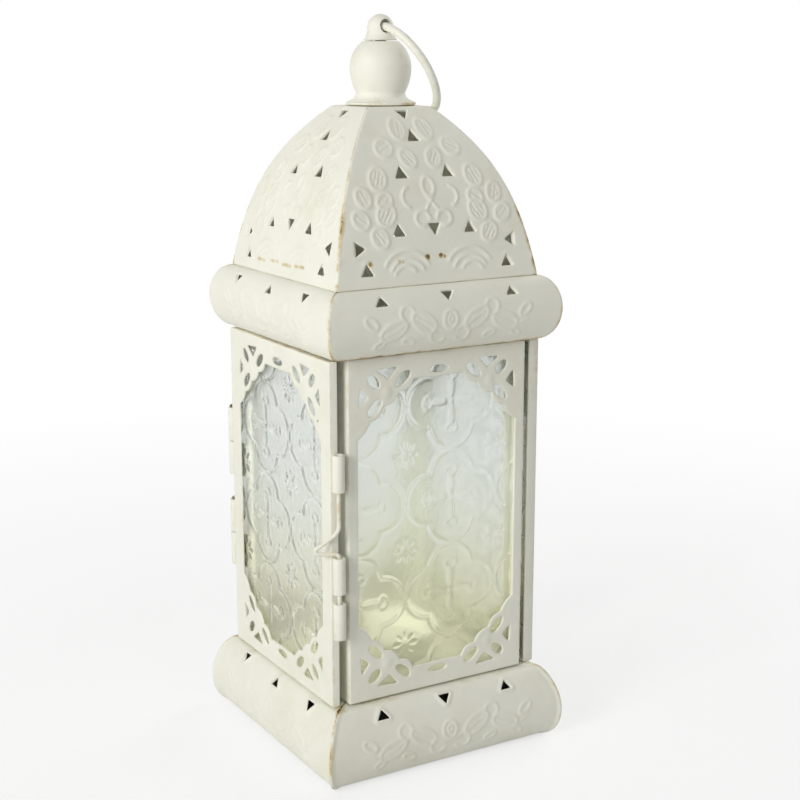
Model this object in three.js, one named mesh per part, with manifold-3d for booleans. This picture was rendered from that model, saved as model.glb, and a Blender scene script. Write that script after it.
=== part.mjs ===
// A square candle lantern of pressed sheet metal with a domed top, openwork glazed sides, a hinged
// door with a drop-bolt latch and a hanging ring. Millimetres, +Z up, the door faces -Y, and the
// origin is on the surface that the lantern stands on, under its middle.

import * as THREE from 'three';
import { mergeVertices } from 'three/addons/utils/BufferGeometryUtils.js';
import Module from 'manifold-3d';

const wasm = await Module();
wasm.setup();

// Sheet, clearances and fineness

const SHEET = 0.9; // thickness of the pressed sheet
const CLEAR = 0.3; // gap between two pieces that rest on each other
const MITRE_GAP = 0.3; // gap along a mitred corner seam
const DOOR_PLAY = 0.5; // gap above and below the door
const CURVE_STEPS = 7; // facets along one curve of a pressed profile
const ROUND_SIDES = 20; // facets round a small tube

// Base moulding

const BASE_WIDTH = 100; // the widest side
const BASE_HEIGHT = 28;
const BASE_SPREAD = 6.6; // how far the widest line stands out from the door's face
const BASE_BELLY_Z = 11.2; // height of the widest line
const BASE_FOOT_TUCK = 7; // how far the foot is drawn in from the widest line
const BASE_SHOULDER_SETBACK = 1.4; // the flat top ends this far behind the door's face
const BASE_SHOULDER_BULGE = 3.5; // how far the top edge runs out before it turns down
const FOOT_FLANGE = 3.5; // width of the foot's flat rim
const SHELF_LAP = 2; // the flat tops reach this far in past the posts

// Body between the mouldings

const BODY_HEIGHT = 125;
const FACE_STEP = 2.8; // the side frames' faces lie this far behind the door's face
const DOOR_INSET = 1.2; // the door ends this far inside the side frames' faces
const DOOR_DEPTH = 3.4; // how far the door's rim turns back
const SIDE_DEPTH = 7.4; // how far a side frame's rim turns back
const POST_STEP = 2.2; // how much of a post shows beside a side frame
const STILE = 3.9; // width of a side frame's narrow upright
const POST_REVEAL = 0.4; // how far a post stays behind a side window's edge
const POST_LEG = 3.2; // width of a post's leg behind the door and the back frame

// Openwork in a frame's corner, measured as [across, down] from the top corner of its pattern.
// The other three corners mirror it.

const CUSPS = [[STILE, 28.4], [8.9, 22.6], [14.2, 17.6], [20.4, 13.1], [26.2, 8.9]]; // ends of the scallops
const SCALLOP_RISE = 1.3; // how far a scallop bulges into the window
const CROWN_DIP = 0.3; // how far the window's top edge dips at its middle
const WEDGES = [
  [[11.2, 4.6], [19.8, 4.1], [16.2, 8.3]],
  [[4.9, 10.1], [4.4, 16.9], [8.2, 13.9]],
];
const PETALS = [[21.9, 8.5, 40], [10.6, 17.8, 46]]; // centre, and slope in degrees
const PETAL_LENGTH = 7.4;
const PETAL_WIDTH = 3.3;
const CORNER_OVAL_CENTRE = [10.2, 8.6];
const CORNER_OVAL_LENGTH = 6;
const CORNER_OVAL_WIDTH = 3.4;
const RAIL_SLOT_LENGTH = 7.8;
const RAIL_SLOT_WIDTH = 2.7;
const RAIL_SLOT_FROM_TOP = 6.5;

// Glass and its clips

const GLASS = 2; // thickness of a pane
const CLIP = 0.6; // thickness of a clip's strip
const CLIP_LENGTH = 18;
const CLIP_HOOK = 3.2; // how far a clip reaches over the pane

// Floor

const CUP_BORE = 41; // inside diameter of the candle cup
const CUP_WALL = 0.8;
const CUP_HEIGHT = 9;

// Eave moulding

const EAVE_HEIGHT = 23.1;
const EAVE_SPREAD = 6.7; // how far the round bulge stands out
const EAVE_SETBACK = 2.4; // the bulge starts this far behind the door's face
const EAVE_TOP_FLANGE = 5;

// Dome

const DOME_HEIGHT = 58.7;
const DOME_TOP_HALF = 13;
const DOME_FOOT_LEAN = 5; // how far the dome's foot leans in over half its height
const DOME_CROWN_REACH = 16; // how far the dome's crown runs out before it turns down
const DOME_HOLE_HALF = 4; // half side of the hole in the dome's flat top

// Pierced triangles

const DOME_HOLE_WIDTH = 5.2;
const DOME_HOLE_HEIGHT = 4.2;
const RIM_HOLE_WIDTH = 5.2;
const RIM_HOLE_HEIGHT = 3.2;
const RIM_HOLE_PITCH = 26.4;
const EAVE_HOLE_DROP = 3.4; // centre of the eave's triangles below its top
const BASE_HOLE_DROP = 3.3;

// Finial and hanging ring

const BALL_RADIUS = 11;
const BALL_DEPTH = 14.5; // the ball's lower half is drawn out to this
const BALL_FLAT_DROP = 2; // the ball's flat top is this far under its full height
const SKIRT_MARGIN = 0.4; // the skirt ends this far inside the dome's flat top
const SKIRT_RIM = 0.8;
const NECK_WAIST = 2.2; // how much narrower the neck is than the ball, in radius
const NECK_RISE = 4.4;
const EYE_RADIUS = 4.75;
const EYE_WAIST = 0.4; // how much narrower the eye's neck is than the eye, in radius
const EYE_NECK_RISE = 2.4;
const EYE_HOLE_RISE = 0.6; // centre of the hole above the eye's centre
const SHANK_RADIUS = 2;
const SHANK_END = 2.5; // how far the shank shows below its nut
const WASHER_LAP = 3.3; // how far the washer reaches past the corners of the dome's hole
const WASHER_THICKNESS = 1;
const NUT_FLATS = 7;
const NUT_HEIGHT = 3.2;
const RING_OVERREACH = 9.5; // the ring's far end hangs this far out past the dome's flat top
const RING_WIRE_RADIUS = 1.5;

// Hinges and latch

const TUBE_RADIUS = 2.2;
const TUBE_HEIGHT = 13;
const LEAF = 0.7; // thickness of the leaf that carries a tube on a post
const TUBE_RISE = 43.3; // foot of the door's lower tubes above the base
const TUBE_SPACING = 36.6; // from the lower tubes to the upper ones
const KEEPER_GAP = 3.6; // between the latch keeper and the tube above it
const PIN_RADIUS = 0.9;
const PIN_HEAD_RADIUS = 1.7;
const PIN_HEAD = 0.8;
const BOLT_RADIUS = 0.75;
const BOLT_ENTRY = 7.6; // how far the bolt stands in its upper tube
const BOLT_HOLD = 8.2; // how far the bolt stands in the keeper
const FINGER_LENGTH = 8.2; // how far the bolt's finger loop stands out
const FINGER_HEIGHT = 9.4; // from the loop's seat to where the wire starts to turn out
const FINGER_TURN = Math.PI / 6; // the loop is turned this far in over the door

// Sizes that follow from the values above

const DOOR_FACE = BASE_WIDTH / 2 - BASE_SPREAD; // outer face of the door and the back frame
const SIDE_FACE = DOOR_FACE - FACE_STEP; // outer face of the side frames
const TRAY_DEPTH = SHEET + GLASS + CLIP + 3 * CLEAR; // rim of the back frame
const DOOR_HALF = SIDE_FACE - DOOR_INSET; // half width of the door and the back frame
const EAVE_Z = BASE_HEIGHT + BODY_HEIGHT;
const DOME_Z = EAVE_Z + EAVE_HEIGHT + CLEAR;
const DOME_TOP_Z = DOME_Z + DOME_HEIGHT;
const FINIAL_Z = DOME_TOP_Z + CLEAR;
const NECK_RADIUS = BALL_RADIUS - NECK_WAIST;
const BALL_Z = FINIAL_Z + NECK_RISE + BALL_DEPTH * Math.sqrt(1 - (NECK_RADIUS / BALL_RADIUS) ** 2);
const BALL_FLAT_Z = BALL_Z + BALL_RADIUS - BALL_FLAT_DROP;
const EYE_SEAT_Z = BALL_FLAT_Z + CLEAR;
const EYE_NECK_RADIUS = EYE_RADIUS - EYE_WAIST;
const EYE_Z = EYE_SEAT_Z + EYE_NECK_RISE + Math.sqrt(EYE_RADIUS ** 2 - EYE_NECK_RADIUS ** 2);
const RING_HOLE_Z = EYE_Z + EYE_HOLE_RISE;
const RING_REACH = Math.hypot(DOME_TOP_HALF + RING_OVERREACH, RING_HOLE_Z - DOME_TOP_Z);
const RING_RADIUS = RING_REACH / 2; // centre line of the ring
const POST_X = SIDE_FACE - SIDE_DEPTH - CLEAR;
const POST_Y = DOOR_FACE - TRAY_DEPTH - CLEAR;
const SIDE_HALF = POST_Y - POST_STEP; // half width of the side frames
const WINDOW_HALF = SIDE_HALF - STILE;
const POST_LEG_END = WINDOW_HALF + POST_REVEAL; // end of a post's leg behind a side frame
const SHELF_HALF = POST_LEG_END - SHELF_LAP;
const EAVE_ROOT_HALF = DOOR_FACE - EAVE_SETBACK;
const BODY_FOOT_Z = BASE_HEIGHT + CLEAR;
const BODY_TOP_Z = EAVE_Z - CLEAR;
const TUBE_X = DOOR_HALF + CLEAR + TUBE_RADIUS;
const TUBE_Y = -(DOOR_FACE - TUBE_RADIUS);
const TUBE_LOWER_Z = BASE_HEIGHT + TUBE_RISE;
const TUBE_UPPER_Z = TUBE_LOWER_Z + TUBE_SPACING;
const KEEPER_Z = TUBE_LOWER_Z - KEEPER_GAP - TUBE_HEIGHT;

const paint = (color) => new THREE.MeshStandardMaterial({ color, roughness: 0.62, metalness: 0.15 });
const PAINT_LIGHT = paint(0xe9e5d3);
const PAINT_SHADE = paint(0xddd8c4);
const STEEL = new THREE.MeshStandardMaterial({ color: 0x6d6a62, roughness: 0.45, metalness: 0.9 });
const PANE = new THREE.MeshStandardMaterial({
  color: 0xb9c7c2,
  roughness: 0.12,
  metalness: 0,
  transparent: true,
  opacity: 0.45,
});

// Solids

function solid(geometry) {
  const plain = geometry.clone();
  plain.deleteAttribute('normal');
  plain.deleteAttribute('uv');
  const merged = mergeVertices(plain, 1e-4);
  return new wasm.Manifold(
    new wasm.Mesh({
      numProp: 3,
      vertProperties: new Float32Array(merged.attributes.position.array),
      triVerts: new Uint32Array(merged.index.array),
    })
  );
}

function geometryOf(manifold) {
  const { numProp, vertProperties, triVerts } = manifold.getMesh();
  const position = new Float32Array((vertProperties.length / numProp) * 3);
  for (let i = 0; i < position.length / 3; i += 1) {
    position.set(vertProperties.subarray(i * numProp, i * numProp + 3), i * 3);
  }
  return indexed(position, Array.from(triVerts));
}

function indexed(position, triangles) {
  const geometry = new THREE.BufferGeometry();
  geometry.setAttribute('position', new THREE.BufferAttribute(new Float32Array(position), 3));
  geometry.setIndex(triangles);
  geometry.computeVertexNormals();
  return geometry;
}

function cut(geometry, tools) {
  let result = solid(geometry);
  for (const tool of tools) result = result.subtract(solid(tool));
  return geometryOf(result);
}

function join(geometries) {
  let result = solid(geometries[0]);
  for (const other of geometries.slice(1)) result = result.add(solid(other));
  return geometryOf(result);
}

function named(name, geometry, material) {
  const mesh = new THREE.Mesh(geometry, material);
  mesh.name = name;
  return mesh;
}

function boxBetween(low, high) {
  const size = high.map((value, axis) => value - low[axis]);
  const box = new THREE.BoxGeometry(...size);
  return box.translate(...low.map((value, axis) => value + size[axis] / 2));
}

function uprightCylinder(radius, z0, z1, sides = ROUND_SIDES) {
  const cylinder = new THREE.CylinderGeometry(radius, radius, z1 - z0, sides);
  return cylinder.rotateX(Math.PI / 2).translate(0, 0, (z0 + z1) / 2);
}

// A profile of points (radius, height), from the axis back to the axis, turned about Z.
function turned(profile, segments) {
  const points = profile.map(([radius, z]) => new THREE.Vector2(radius, z));
  return new THREE.LatheGeometry(points, segments).rotateX(Math.PI / 2);
}

// Pressed mouldings and dome panels

// The line that lies a sheet's thickness to the left of an open line of points.
function offsetLine(points, distance) {
  const normals = points.slice(1).map((point, i) => {
    const along = point.clone().sub(points[i]).normalize();
    return new THREE.Vector2(-along.y, along.x);
  });
  return points.map((point, i) => {
    const before = normals[Math.max(i - 1, 0)];
    const after = normals[Math.min(i, normals.length - 1)];
    const middle = before.clone().add(after).normalize();
    return point.clone().addScaledVector(middle, distance / middle.dot(before));
  });
}

// One side of a square sheet-metal shell. The line gives (half side, height) on the outside. The
// sheet runs straight along X in front of the middle, and both ends stop at the mitre planes.
function mitredSide(line) {
  const inner = offsetLine(line, SHEET).reverse();
  const section = [...line, ...inner];
  const count = section.length;
  const position = [];
  for (const side of [-1, 1]) {
    for (const { x: half, y: z } of section) {
      position.push(side * (half - MITRE_GAP / Math.SQRT2), -half, z);
    }
  }
  const triangles = [];
  for (let i = 0; i < count; i += 1) {
    const next = (i + 1) % count;
    triangles.push(i, next, count + i, next, count + next, count + i);
  }
  for (const [a, b, c] of THREE.ShapeUtils.triangulateShape(section, [])) {
    triangles.push(a, c, b, count + a, count + b, count + c);
  }
  return facingOut(indexed(position, triangles));
}

function facingOut(geometry) {
  const points = geometry.attributes.position;
  const index = geometry.index.array;
  const corner = [new THREE.Vector3(), new THREE.Vector3(), new THREE.Vector3()];
  let volume = 0;
  for (let i = 0; i < index.length; i += 3) {
    corner.forEach((vertex, k) => vertex.fromBufferAttribute(points, index[i + k]));
    volume += corner[0].dot(corner[1].clone().cross(corner[2]));
  }
  if (volume > 0) return geometry;
  return indexed(points.array, Array.from(index).reverse());
}

function trianglePrism({ x, z, width, height, point }, depth) {
  const corners = [
    [-width / 2, -height / 2],
    [width / 2, -height / 2],
    [0, height / 2],
  ];
  const turn = { up: 0, left: Math.PI / 2, down: Math.PI, right: -Math.PI / 2 }[point];
  const shape = new THREE.Shape(corners.map(([u, v]) => new THREE.Vector2(u, v)));
  const prism = new THREE.ExtrudeGeometry(shape, { depth, bevelEnabled: false });
  return prism.rotateZ(turn).rotateX(Math.PI / 2).translate(x, 0, z);
}

function pathPoints(path) {
  return path.getPoints(CURVE_STEPS);
}

function baseLine() {
  const shoulder = DOOR_FACE - BASE_SHOULDER_SETBACK;
  const belly = BASE_WIDTH / 2;
  const foot = belly - BASE_FOOT_TUCK;
  const roundness = 0.42; // where a curve's control points lie between its ends
  const path = new THREE.Path();
  path.moveTo(SHELF_HALF, BASE_HEIGHT);
  path.lineTo(shoulder, BASE_HEIGHT);
  path.bezierCurveTo(
    shoulder + BASE_SHOULDER_BULGE, BASE_HEIGHT,
    belly, BASE_BELLY_Z + (BASE_HEIGHT - BASE_BELLY_Z) * roundness,
    belly, BASE_BELLY_Z
  );
  path.bezierCurveTo(
    belly, BASE_BELLY_Z * roundness,
    belly - BASE_FOOT_TUCK / 4, 0,
    foot, 0
  );
  path.lineTo(foot - FOOT_FLANGE, 0);
  return pathPoints(path).reverse();
}

function eaveLine() {
  const path = new THREE.Path();
  const middle = EAVE_Z + EAVE_HEIGHT / 2;
  path.moveTo(SHELF_HALF, EAVE_Z);
  path.lineTo(EAVE_ROOT_HALF, EAVE_Z);
  path.absellipse(
    EAVE_ROOT_HALF, middle, EAVE_SPREAD, EAVE_HEIGHT / 2,
    -Math.PI / 2, Math.PI / 2, false, 0
  );
  path.lineTo(EAVE_ROOT_HALF - EAVE_TOP_FLANGE, EAVE_Z + EAVE_HEIGHT);
  return pathPoints(path);
}

function domeLine() {
  const path = new THREE.Path();
  path.moveTo(EAVE_ROOT_HALF, DOME_Z);
  path.bezierCurveTo(
    EAVE_ROOT_HALF - DOME_FOOT_LEAN, DOME_Z + DOME_HEIGHT / 2,
    DOME_TOP_HALF + DOME_CROWN_REACH, DOME_TOP_Z - DOME_HEIGHT / 4,
    DOME_TOP_HALF, DOME_TOP_Z
  );
  path.lineTo(DOME_HOLE_HALF, DOME_TOP_Z);
  return path.getPoints(2 * CURVE_STEPS);
}

// Three triangles in a row near the rim of a moulding. The outer two point the other way.
function rimHoles(z, outerPoint) {
  const middlePoint = outerPoint === 'up' ? 'down' : 'up';
  return [-1, 0, 1].map((step) => ({
    x: step * RIM_HOLE_PITCH,
    z,
    width: RIM_HOLE_WIDTH,
    height: RIM_HOLE_HEIGHT,
    point: step === 0 ? middlePoint : outerPoint,
  }));
}

// The eleven triangles of a dome panel: distance from the middle, drop from the top, direction.
function domeHoles() {
  const layout = [
    [0, 2.6, 'down'],
    [0, 9.2, 'up'],
    [9.4, 21.2, 'up'],
    [0, 40.6, 'down'],
    [14.4, 40.2, 'up'],
    [30.2, 45.6, 'inward'],
    [28.4, 52.6, 'up'],
  ];
  const holes = [];
  for (const [reach, drop, direction] of layout) {
    for (const side of reach === 0 ? [1] : [-1, 1]) {
      const inward = side > 0 ? 'left' : 'right';
      holes.push({
        x: side * reach,
        z: DOME_TOP_Z - drop,
        width: DOME_HOLE_WIDTH,
        height: drop < 5 ? DOME_HOLE_HEIGHT * 0.7 : DOME_HOLE_HEIGHT,
        point: direction === 'inward' ? inward : direction,
      });
    }
  }
  return holes;
}

const SIDES = ['front', 'right', 'back', 'left'];

function fourSides(name, line, holesFor) {
  const group = new THREE.Group();
  const reach = Math.max(...line.map((point) => point.x)) + SHEET;
  SIDES.forEach((side, turn) => {
    const prisms = holesFor(turn).map((hole) => trianglePrism(hole, reach));
    const mesh = named(`${name}_${side}`, cut(mitredSide(line), prisms), PAINT_LIGHT);
    mesh.rotation.z = (turn * Math.PI) / 2;
    group.add(mesh);
  });
  return group;
}

function mouldings() {
  const group = new THREE.Group();
  const outerPoint = (turn) => (turn % 2 === 0 ? 'down' : 'up');
  group.add(
    fourSides('base_moulding', baseLine(), (turn) =>
      rimHoles(BASE_HEIGHT - BASE_HOLE_DROP, outerPoint(turn))
    ),
    fourSides('eave_moulding', eaveLine(), (turn) =>
      rimHoles(EAVE_Z + EAVE_HEIGHT - EAVE_HOLE_DROP, outerPoint(turn))
    ),
    fourSides('dome_panel', domeLine(), domeHoles)
  );
  return group;
}

// Openwork frames

// Points on a shallow arc from the last point of the list to the next, bulging to its right.
function addScallop(points, to, sagitta, steps = 4) {
  const from = points[points.length - 1];
  const chord = to.clone().sub(from);
  const aside = new THREE.Vector2(chord.y, -chord.x).normalize();
  for (let i = 1; i <= steps; i += 1) {
    const t = i / steps;
    const bulge = 4 * sagitta * t * (1 - t);
    points.push(from.clone().addScaledVector(chord, t).addScaledVector(aside, bulge));
  }
}

// A point of the pattern in the top right corner.
function patternPoint(corner, [across, down]) {
  return new THREE.Vector2(corner.x - across, corner.y - down);
}

// The window's outline from its right side up round the corner's openwork.
function archHalf(corner) {
  const [foot, first, ...others] = CUSPS.map((cusp) => patternPoint(corner, cusp));
  const points = [foot];
  addScallop(points, first, -SCALLOP_RISE / 2);
  for (const cusp of others) addScallop(points, cusp, -SCALLOP_RISE);
  return points;
}

function windowPath(corner) {
  const mirrored = (points, sx, sy) => points.map((p) => new THREE.Vector2(p.x * sx, p.y * sy));
  const half = archHalf(corner);
  const top = [...half];
  const crown = half[half.length - 1];
  addScallop(top, new THREE.Vector2(-crown.x, crown.y), -CROWN_DIP);
  top.push(...mirrored(half, -1, 1).reverse().slice(1));
  return new THREE.Path([...top, ...mirrored(top, -1, -1)]);
}

function ovalPath(centre, length, width, angle) {
  const path = new THREE.Path();
  path.absellipse(centre.x, centre.y, length / 2, width / 2, 0, 2 * Math.PI, true, angle);
  return path;
}

// The five cut-outs of the top right corner.
function cornerCutouts(corner) {
  const diagonal = patternPoint(corner, CORNER_OVAL_CENTRE);
  const cutouts = [ovalPath(diagonal, CORNER_OVAL_LENGTH, CORNER_OVAL_WIDTH, Math.PI / 4)];
  for (const [across, down, degrees] of PETALS) {
    const slope = (degrees * Math.PI) / 180;
    cutouts.push(ovalPath(patternPoint(corner, [across, down]), PETAL_LENGTH, PETAL_WIDTH, -slope));
  }
  for (const wedge of WEDGES) {
    cutouts.push(new THREE.Path(wedge.map((point) => patternPoint(corner, point))));
  }
  return cutouts;
}

function mirroredPath(path, sx, sy) {
  const points = path.getPoints(5);
  if (points[0].distanceTo(points[points.length - 1]) < 1e-6) points.pop();
  return new THREE.Path(points.map((p) => new THREE.Vector2(p.x * sx, p.y * sy)));
}

function railSlot(y) {
  return mirroredPath(ovalPath(new THREE.Vector2(0, y), RAIL_SLOT_LENGTH, RAIL_SLOT_WIDTH, 0), 1, 1);
}

function rectangle(half, halfHeight) {
  return [
    new THREE.Vector2(-half, -halfHeight),
    new THREE.Vector2(half, -halfHeight),
    new THREE.Vector2(half, halfHeight),
    new THREE.Vector2(-half, halfHeight),
  ];
}

// A frame seen from outside: X across, Z up, its outer face at Y = 0 and its rim turned back
// along +Y, with its middle at the origin.
function openworkFrame(half, height, depth) {
  const halfHeight = height / 2;
  const corner = new THREE.Vector2(WINDOW_HALF + STILE, halfHeight);
  const face = new THREE.Shape(rectangle(half, halfHeight));
  face.holes.push(windowPath(corner));
  for (const [sx, sy] of [[1, 1], [-1, 1], [-1, -1], [1, -1]]) {
    face.holes.push(...cornerCutouts(corner).map((path) => mirroredPath(path, sx, sy)));
  }
  face.holes.push(railSlot(halfHeight - RAIL_SLOT_FROM_TOP), railSlot(RAIL_SLOT_FROM_TOP - halfHeight));
  const rim = new THREE.Shape(rectangle(half, halfHeight));
  rim.holes.push(new THREE.Path(rectangle(half - SHEET, halfHeight - SHEET)));
  const plate = new THREE.ExtrudeGeometry(face, { depth: SHEET, bevelEnabled: false });
  const wall = new THREE.ExtrudeGeometry(rim, { depth, bevelEnabled: false });
  return join([plate.translate(0, 0, -SHEET), wall.translate(0, 0, -depth)]).rotateX(Math.PI / 2);
}

// A strip bent to an L: it stands inside the rim's top and hooks over the back of the pane.
function glassClip(halfHeight) {
  const top = halfHeight - SHEET - CLEAR;
  const back = SHEET + GLASS + 2 * CLEAR + CLIP;
  return join([
    boxBetween([-CLIP_LENGTH / 2, SHEET + CLEAR, top - CLIP], [CLIP_LENGTH / 2, back, top]),
    boxBetween([-CLIP_LENGTH / 2, back - CLIP, top - CLIP_HOOK], [CLIP_LENGTH / 2, back, top]),
  ]);
}

function pane(half, halfHeight) {
  const paneHalf = half - SHEET - CLEAR;
  const paneHalfHeight = halfHeight - SHEET - CLIP - 2 * CLEAR;
  const front = SHEET + CLEAR;
  return boxBetween([-paneHalf, front, -paneHalfHeight], [paneHalf, front + GLASS, paneHalfHeight]);
}

// A frame with its pane and clips, facing -Y at the given distance from the middle.
function glazedFrame(name, half, face, z0, z1, depth) {
  const group = new THREE.Group();
  const height = z1 - z0;
  const bottomClip = glassClip(height / 2).rotateY(Math.PI);
  group.add(
    named(name, openworkFrame(half, height, depth), PAINT_LIGHT),
    named(`${name}_glass`, pane(half, height / 2), PANE),
    named(`${name}_clip_top`, glassClip(height / 2), PAINT_SHADE),
    named(`${name}_clip_bottom`, bottomClip, PAINT_SHADE)
  );
  group.position.set(0, -face, (z0 + z1) / 2);
  return group;
}

function fixedFrames() {
  const group = new THREE.Group();
  const layout = [
    ['right_frame', SIDE_HALF, SIDE_FACE, SIDE_DEPTH, 1],
    ['back_frame', DOOR_HALF, DOOR_FACE, TRAY_DEPTH, 2],
    ['left_frame', SIDE_HALF, SIDE_FACE, SIDE_DEPTH, 3],
  ];
  for (const [name, half, face, depth, turn] of layout) {
    const side = new THREE.Group();
    side.add(glazedFrame(name, half, face, BODY_FOOT_Z, BODY_TOP_Z, depth));
    side.rotation.z = (turn * Math.PI) / 2;
    group.add(side);
  }
  return group;
}

// Corner posts and floor

function cornerPosts() {
  const group = new THREE.Group();
  const height = BODY_TOP_Z - BODY_FOOT_Z;
  for (const [front, sy] of [['front', -1], ['back', 1]]) {
    for (const [side, sx] of [['left', -1], ['right', 1]]) {
      const outline = [
        [POST_X - POST_LEG, POST_Y],
        [POST_X, POST_Y],
        [POST_X, POST_LEG_END],
        [POST_X - SHEET, POST_LEG_END],
        [POST_X - SHEET, POST_Y - SHEET],
        [POST_X - POST_LEG, POST_Y - SHEET],
      ];
      const shape = new THREE.Shape(outline.map(([x, y]) => new THREE.Vector2(sx * x, sy * y)));
      const post = new THREE.ExtrudeGeometry(shape, { depth: height, bevelEnabled: false });
      const mesh = named(`corner_post_${front}_${side}`, post, PAINT_LIGHT);
      mesh.position.z = BODY_FOOT_Z;
      group.add(mesh);
    }
  }
  return group;
}

function floor() {
  const group = new THREE.Group();
  const halfX = POST_X - SHEET - CLEAR;
  const halfY = POST_Y - SHEET - CLEAR;
  const top = BODY_FOOT_Z + SHEET;
  const plate = boxBetween([-halfX, -halfY, BODY_FOOT_Z], [halfX, halfY, top]);
  const cupZ = top + CLEAR;
  const bore = CUP_BORE / 2;
  const cup = turned(
    [
      [0, cupZ],
      [bore + CUP_WALL, cupZ],
      [bore + CUP_WALL, cupZ + CUP_HEIGHT],
      [bore, cupZ + CUP_HEIGHT],
      [bore, cupZ + CUP_WALL],
      [0, cupZ + CUP_WALL],
    ],
    40
  );
  group.add(named('floor_plate', plate, PAINT_SHADE), named('candle_cup', cup, PAINT_SHADE));
  return group;
}

// Finial, its eye bolt and the hanging ring

// Points on a circle about (0, z) between two angles from the horizontal. Below its middle the
// circle is drawn out to the given depth.
function arcProfile(radius, z, from, to, steps, depth = radius) {
  const points = [];
  for (let i = 0; i <= steps; i += 1) {
    const angle = from + ((to - from) * i) / steps;
    const height = angle < 0 ? depth : radius;
    points.push([radius * Math.cos(angle), z + height * Math.sin(angle)]);
  }
  return points;
}

function finialBall() {
  const skirt = DOME_TOP_HALF - SKIRT_MARGIN;
  const bore = SHANK_RADIUS + CLEAR;
  const neck = Math.acos(NECK_RADIUS / BALL_RADIUS);
  const flat = Math.asin((BALL_FLAT_Z - BALL_Z) / BALL_RADIUS);
  const flare = new THREE.QuadraticBezierCurve(
    new THREE.Vector2(skirt, FINIAL_Z + SKIRT_RIM),
    new THREE.Vector2(NECK_RADIUS, FINIAL_Z + SKIRT_RIM + NECK_RISE / 4),
    new THREE.Vector2(NECK_RADIUS, FINIAL_Z + NECK_RISE)
  );
  return turned(
    [
      [bore, FINIAL_Z],
      [skirt, FINIAL_Z],
      ...flare.getPoints(5).slice(0, -1).map(({ x, y }) => [x, y]),
      ...arcProfile(BALL_RADIUS, BALL_Z, -neck, flat, 14, BALL_DEPTH),
      [bore, BALL_FLAT_Z],
      [bore, FINIAL_Z],
    ],
    36
  );
}

// The hole is wide enough for the curve of the ring's wire as it passes through the eye.
function eyeHoleRadius() {
  const sagitta = RING_RADIUS - Math.sqrt(RING_RADIUS ** 2 - EYE_RADIUS ** 2);
  return RING_WIRE_RADIUS + sagitta + CLEAR;
}

function eyeBolt() {
  const collar = BALL_RADIUS * Math.sin(Math.acos((BALL_FLAT_Z - BALL_Z) / BALL_RADIUS)) - CLEAR;
  const neckAngle = -Math.acos(EYE_NECK_RADIUS / EYE_RADIUS);
  const end = DOME_TOP_Z - SHEET - WASHER_THICKNESS - NUT_HEIGHT - 2 * CLEAR - SHANK_END;
  const body = turned(
    [
      [0, end],
      [SHANK_RADIUS, end],
      [SHANK_RADIUS, EYE_SEAT_Z],
      [collar, EYE_SEAT_Z],
      ...arcProfile(EYE_RADIUS, EYE_Z, neckAngle, Math.PI / 2, 9).slice(0, -1),
      [0, EYE_Z + EYE_RADIUS],
    ],
    28
  );
  const drill = new THREE.CylinderGeometry(eyeHoleRadius(), eyeHoleRadius(), 4 * EYE_RADIUS, ROUND_SIDES);
  drill.rotateZ(Math.PI / 2).translate(0, 0, RING_HOLE_Z);
  return cut(body, [drill]);
}

function washer() {
  const top = DOME_TOP_Z - SHEET - CLEAR;
  const bottom = top - WASHER_THICKNESS;
  const bore = SHANK_RADIUS + CLEAR;
  const rim = DOME_HOLE_HALF * Math.SQRT2 + WASHER_LAP;
  return turned([[bore, bottom], [rim, bottom], [rim, top], [bore, top], [bore, bottom]], 28);
}

function nut() {
  const top = DOME_TOP_Z - SHEET - WASHER_THICKNESS - 2 * CLEAR;
  const hexagon = uprightCylinder(NUT_FLATS / Math.sqrt(3), top - NUT_HEIGHT, top, 6);
  const bore = uprightCylinder(SHANK_RADIUS + CLEAR, top - 2 * NUT_HEIGHT, top + NUT_HEIGHT);
  return cut(hexagon, [bore]);
}

function distanceToLine(point, line) {
  const nearest = new THREE.Vector3();
  const distances = line.slice(1).map((end, i) => {
    const piece = new THREE.Line3(
      new THREE.Vector3(line[i].x, line[i].y, 0),
      new THREE.Vector3(end.x, end.y, 0)
    );
    return piece.closestPointToPoint(point, true, nearest).distanceTo(point);
  });
  return Math.min(...distances);
}

// The ring leans back on the dome. Its tilt from straight down is the smallest at which the far
// side of its wire stays clear of the back panel.
function ringRestTilt() {
  const panel = domeLine();
  const step = Math.PI / 7200;
  const reachedAt = (angle) =>
    new THREE.Vector3(2 * RING_RADIUS * Math.sin(angle), RING_HOLE_Z - 2 * RING_RADIUS * Math.cos(angle), 0);
  let tilt = Math.PI / 2;
  while (tilt > 0 && distanceToLine(reachedAt(tilt), panel) > RING_WIRE_RADIUS + CLEAR) tilt -= step;
  return tilt + step;
}

// The ring hangs from the hole in the eye, which runs along X.
function hangingRing() {
  const ring = new THREE.TorusGeometry(RING_RADIUS, RING_WIRE_RADIUS, 10, 44);
  ring.rotateX(Math.PI / 2).translate(0, 0, -RING_RADIUS);
  const mesh = named('hanging_ring', ring, PAINT_LIGHT);
  mesh.rotation.x = ringRestTilt();
  mesh.position.z = RING_HOLE_Z;
  return mesh;
}

function finial() {
  const group = new THREE.Group();
  group.add(
    named('finial_ball', finialBall(), PAINT_LIGHT),
    named('eye_bolt', eyeBolt(), PAINT_LIGHT),
    named('finial_washer', washer(), STEEL),
    named('finial_nut', nut(), STEEL),
    hangingRing()
  );
  return group;
}

// Hinges and latch

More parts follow.
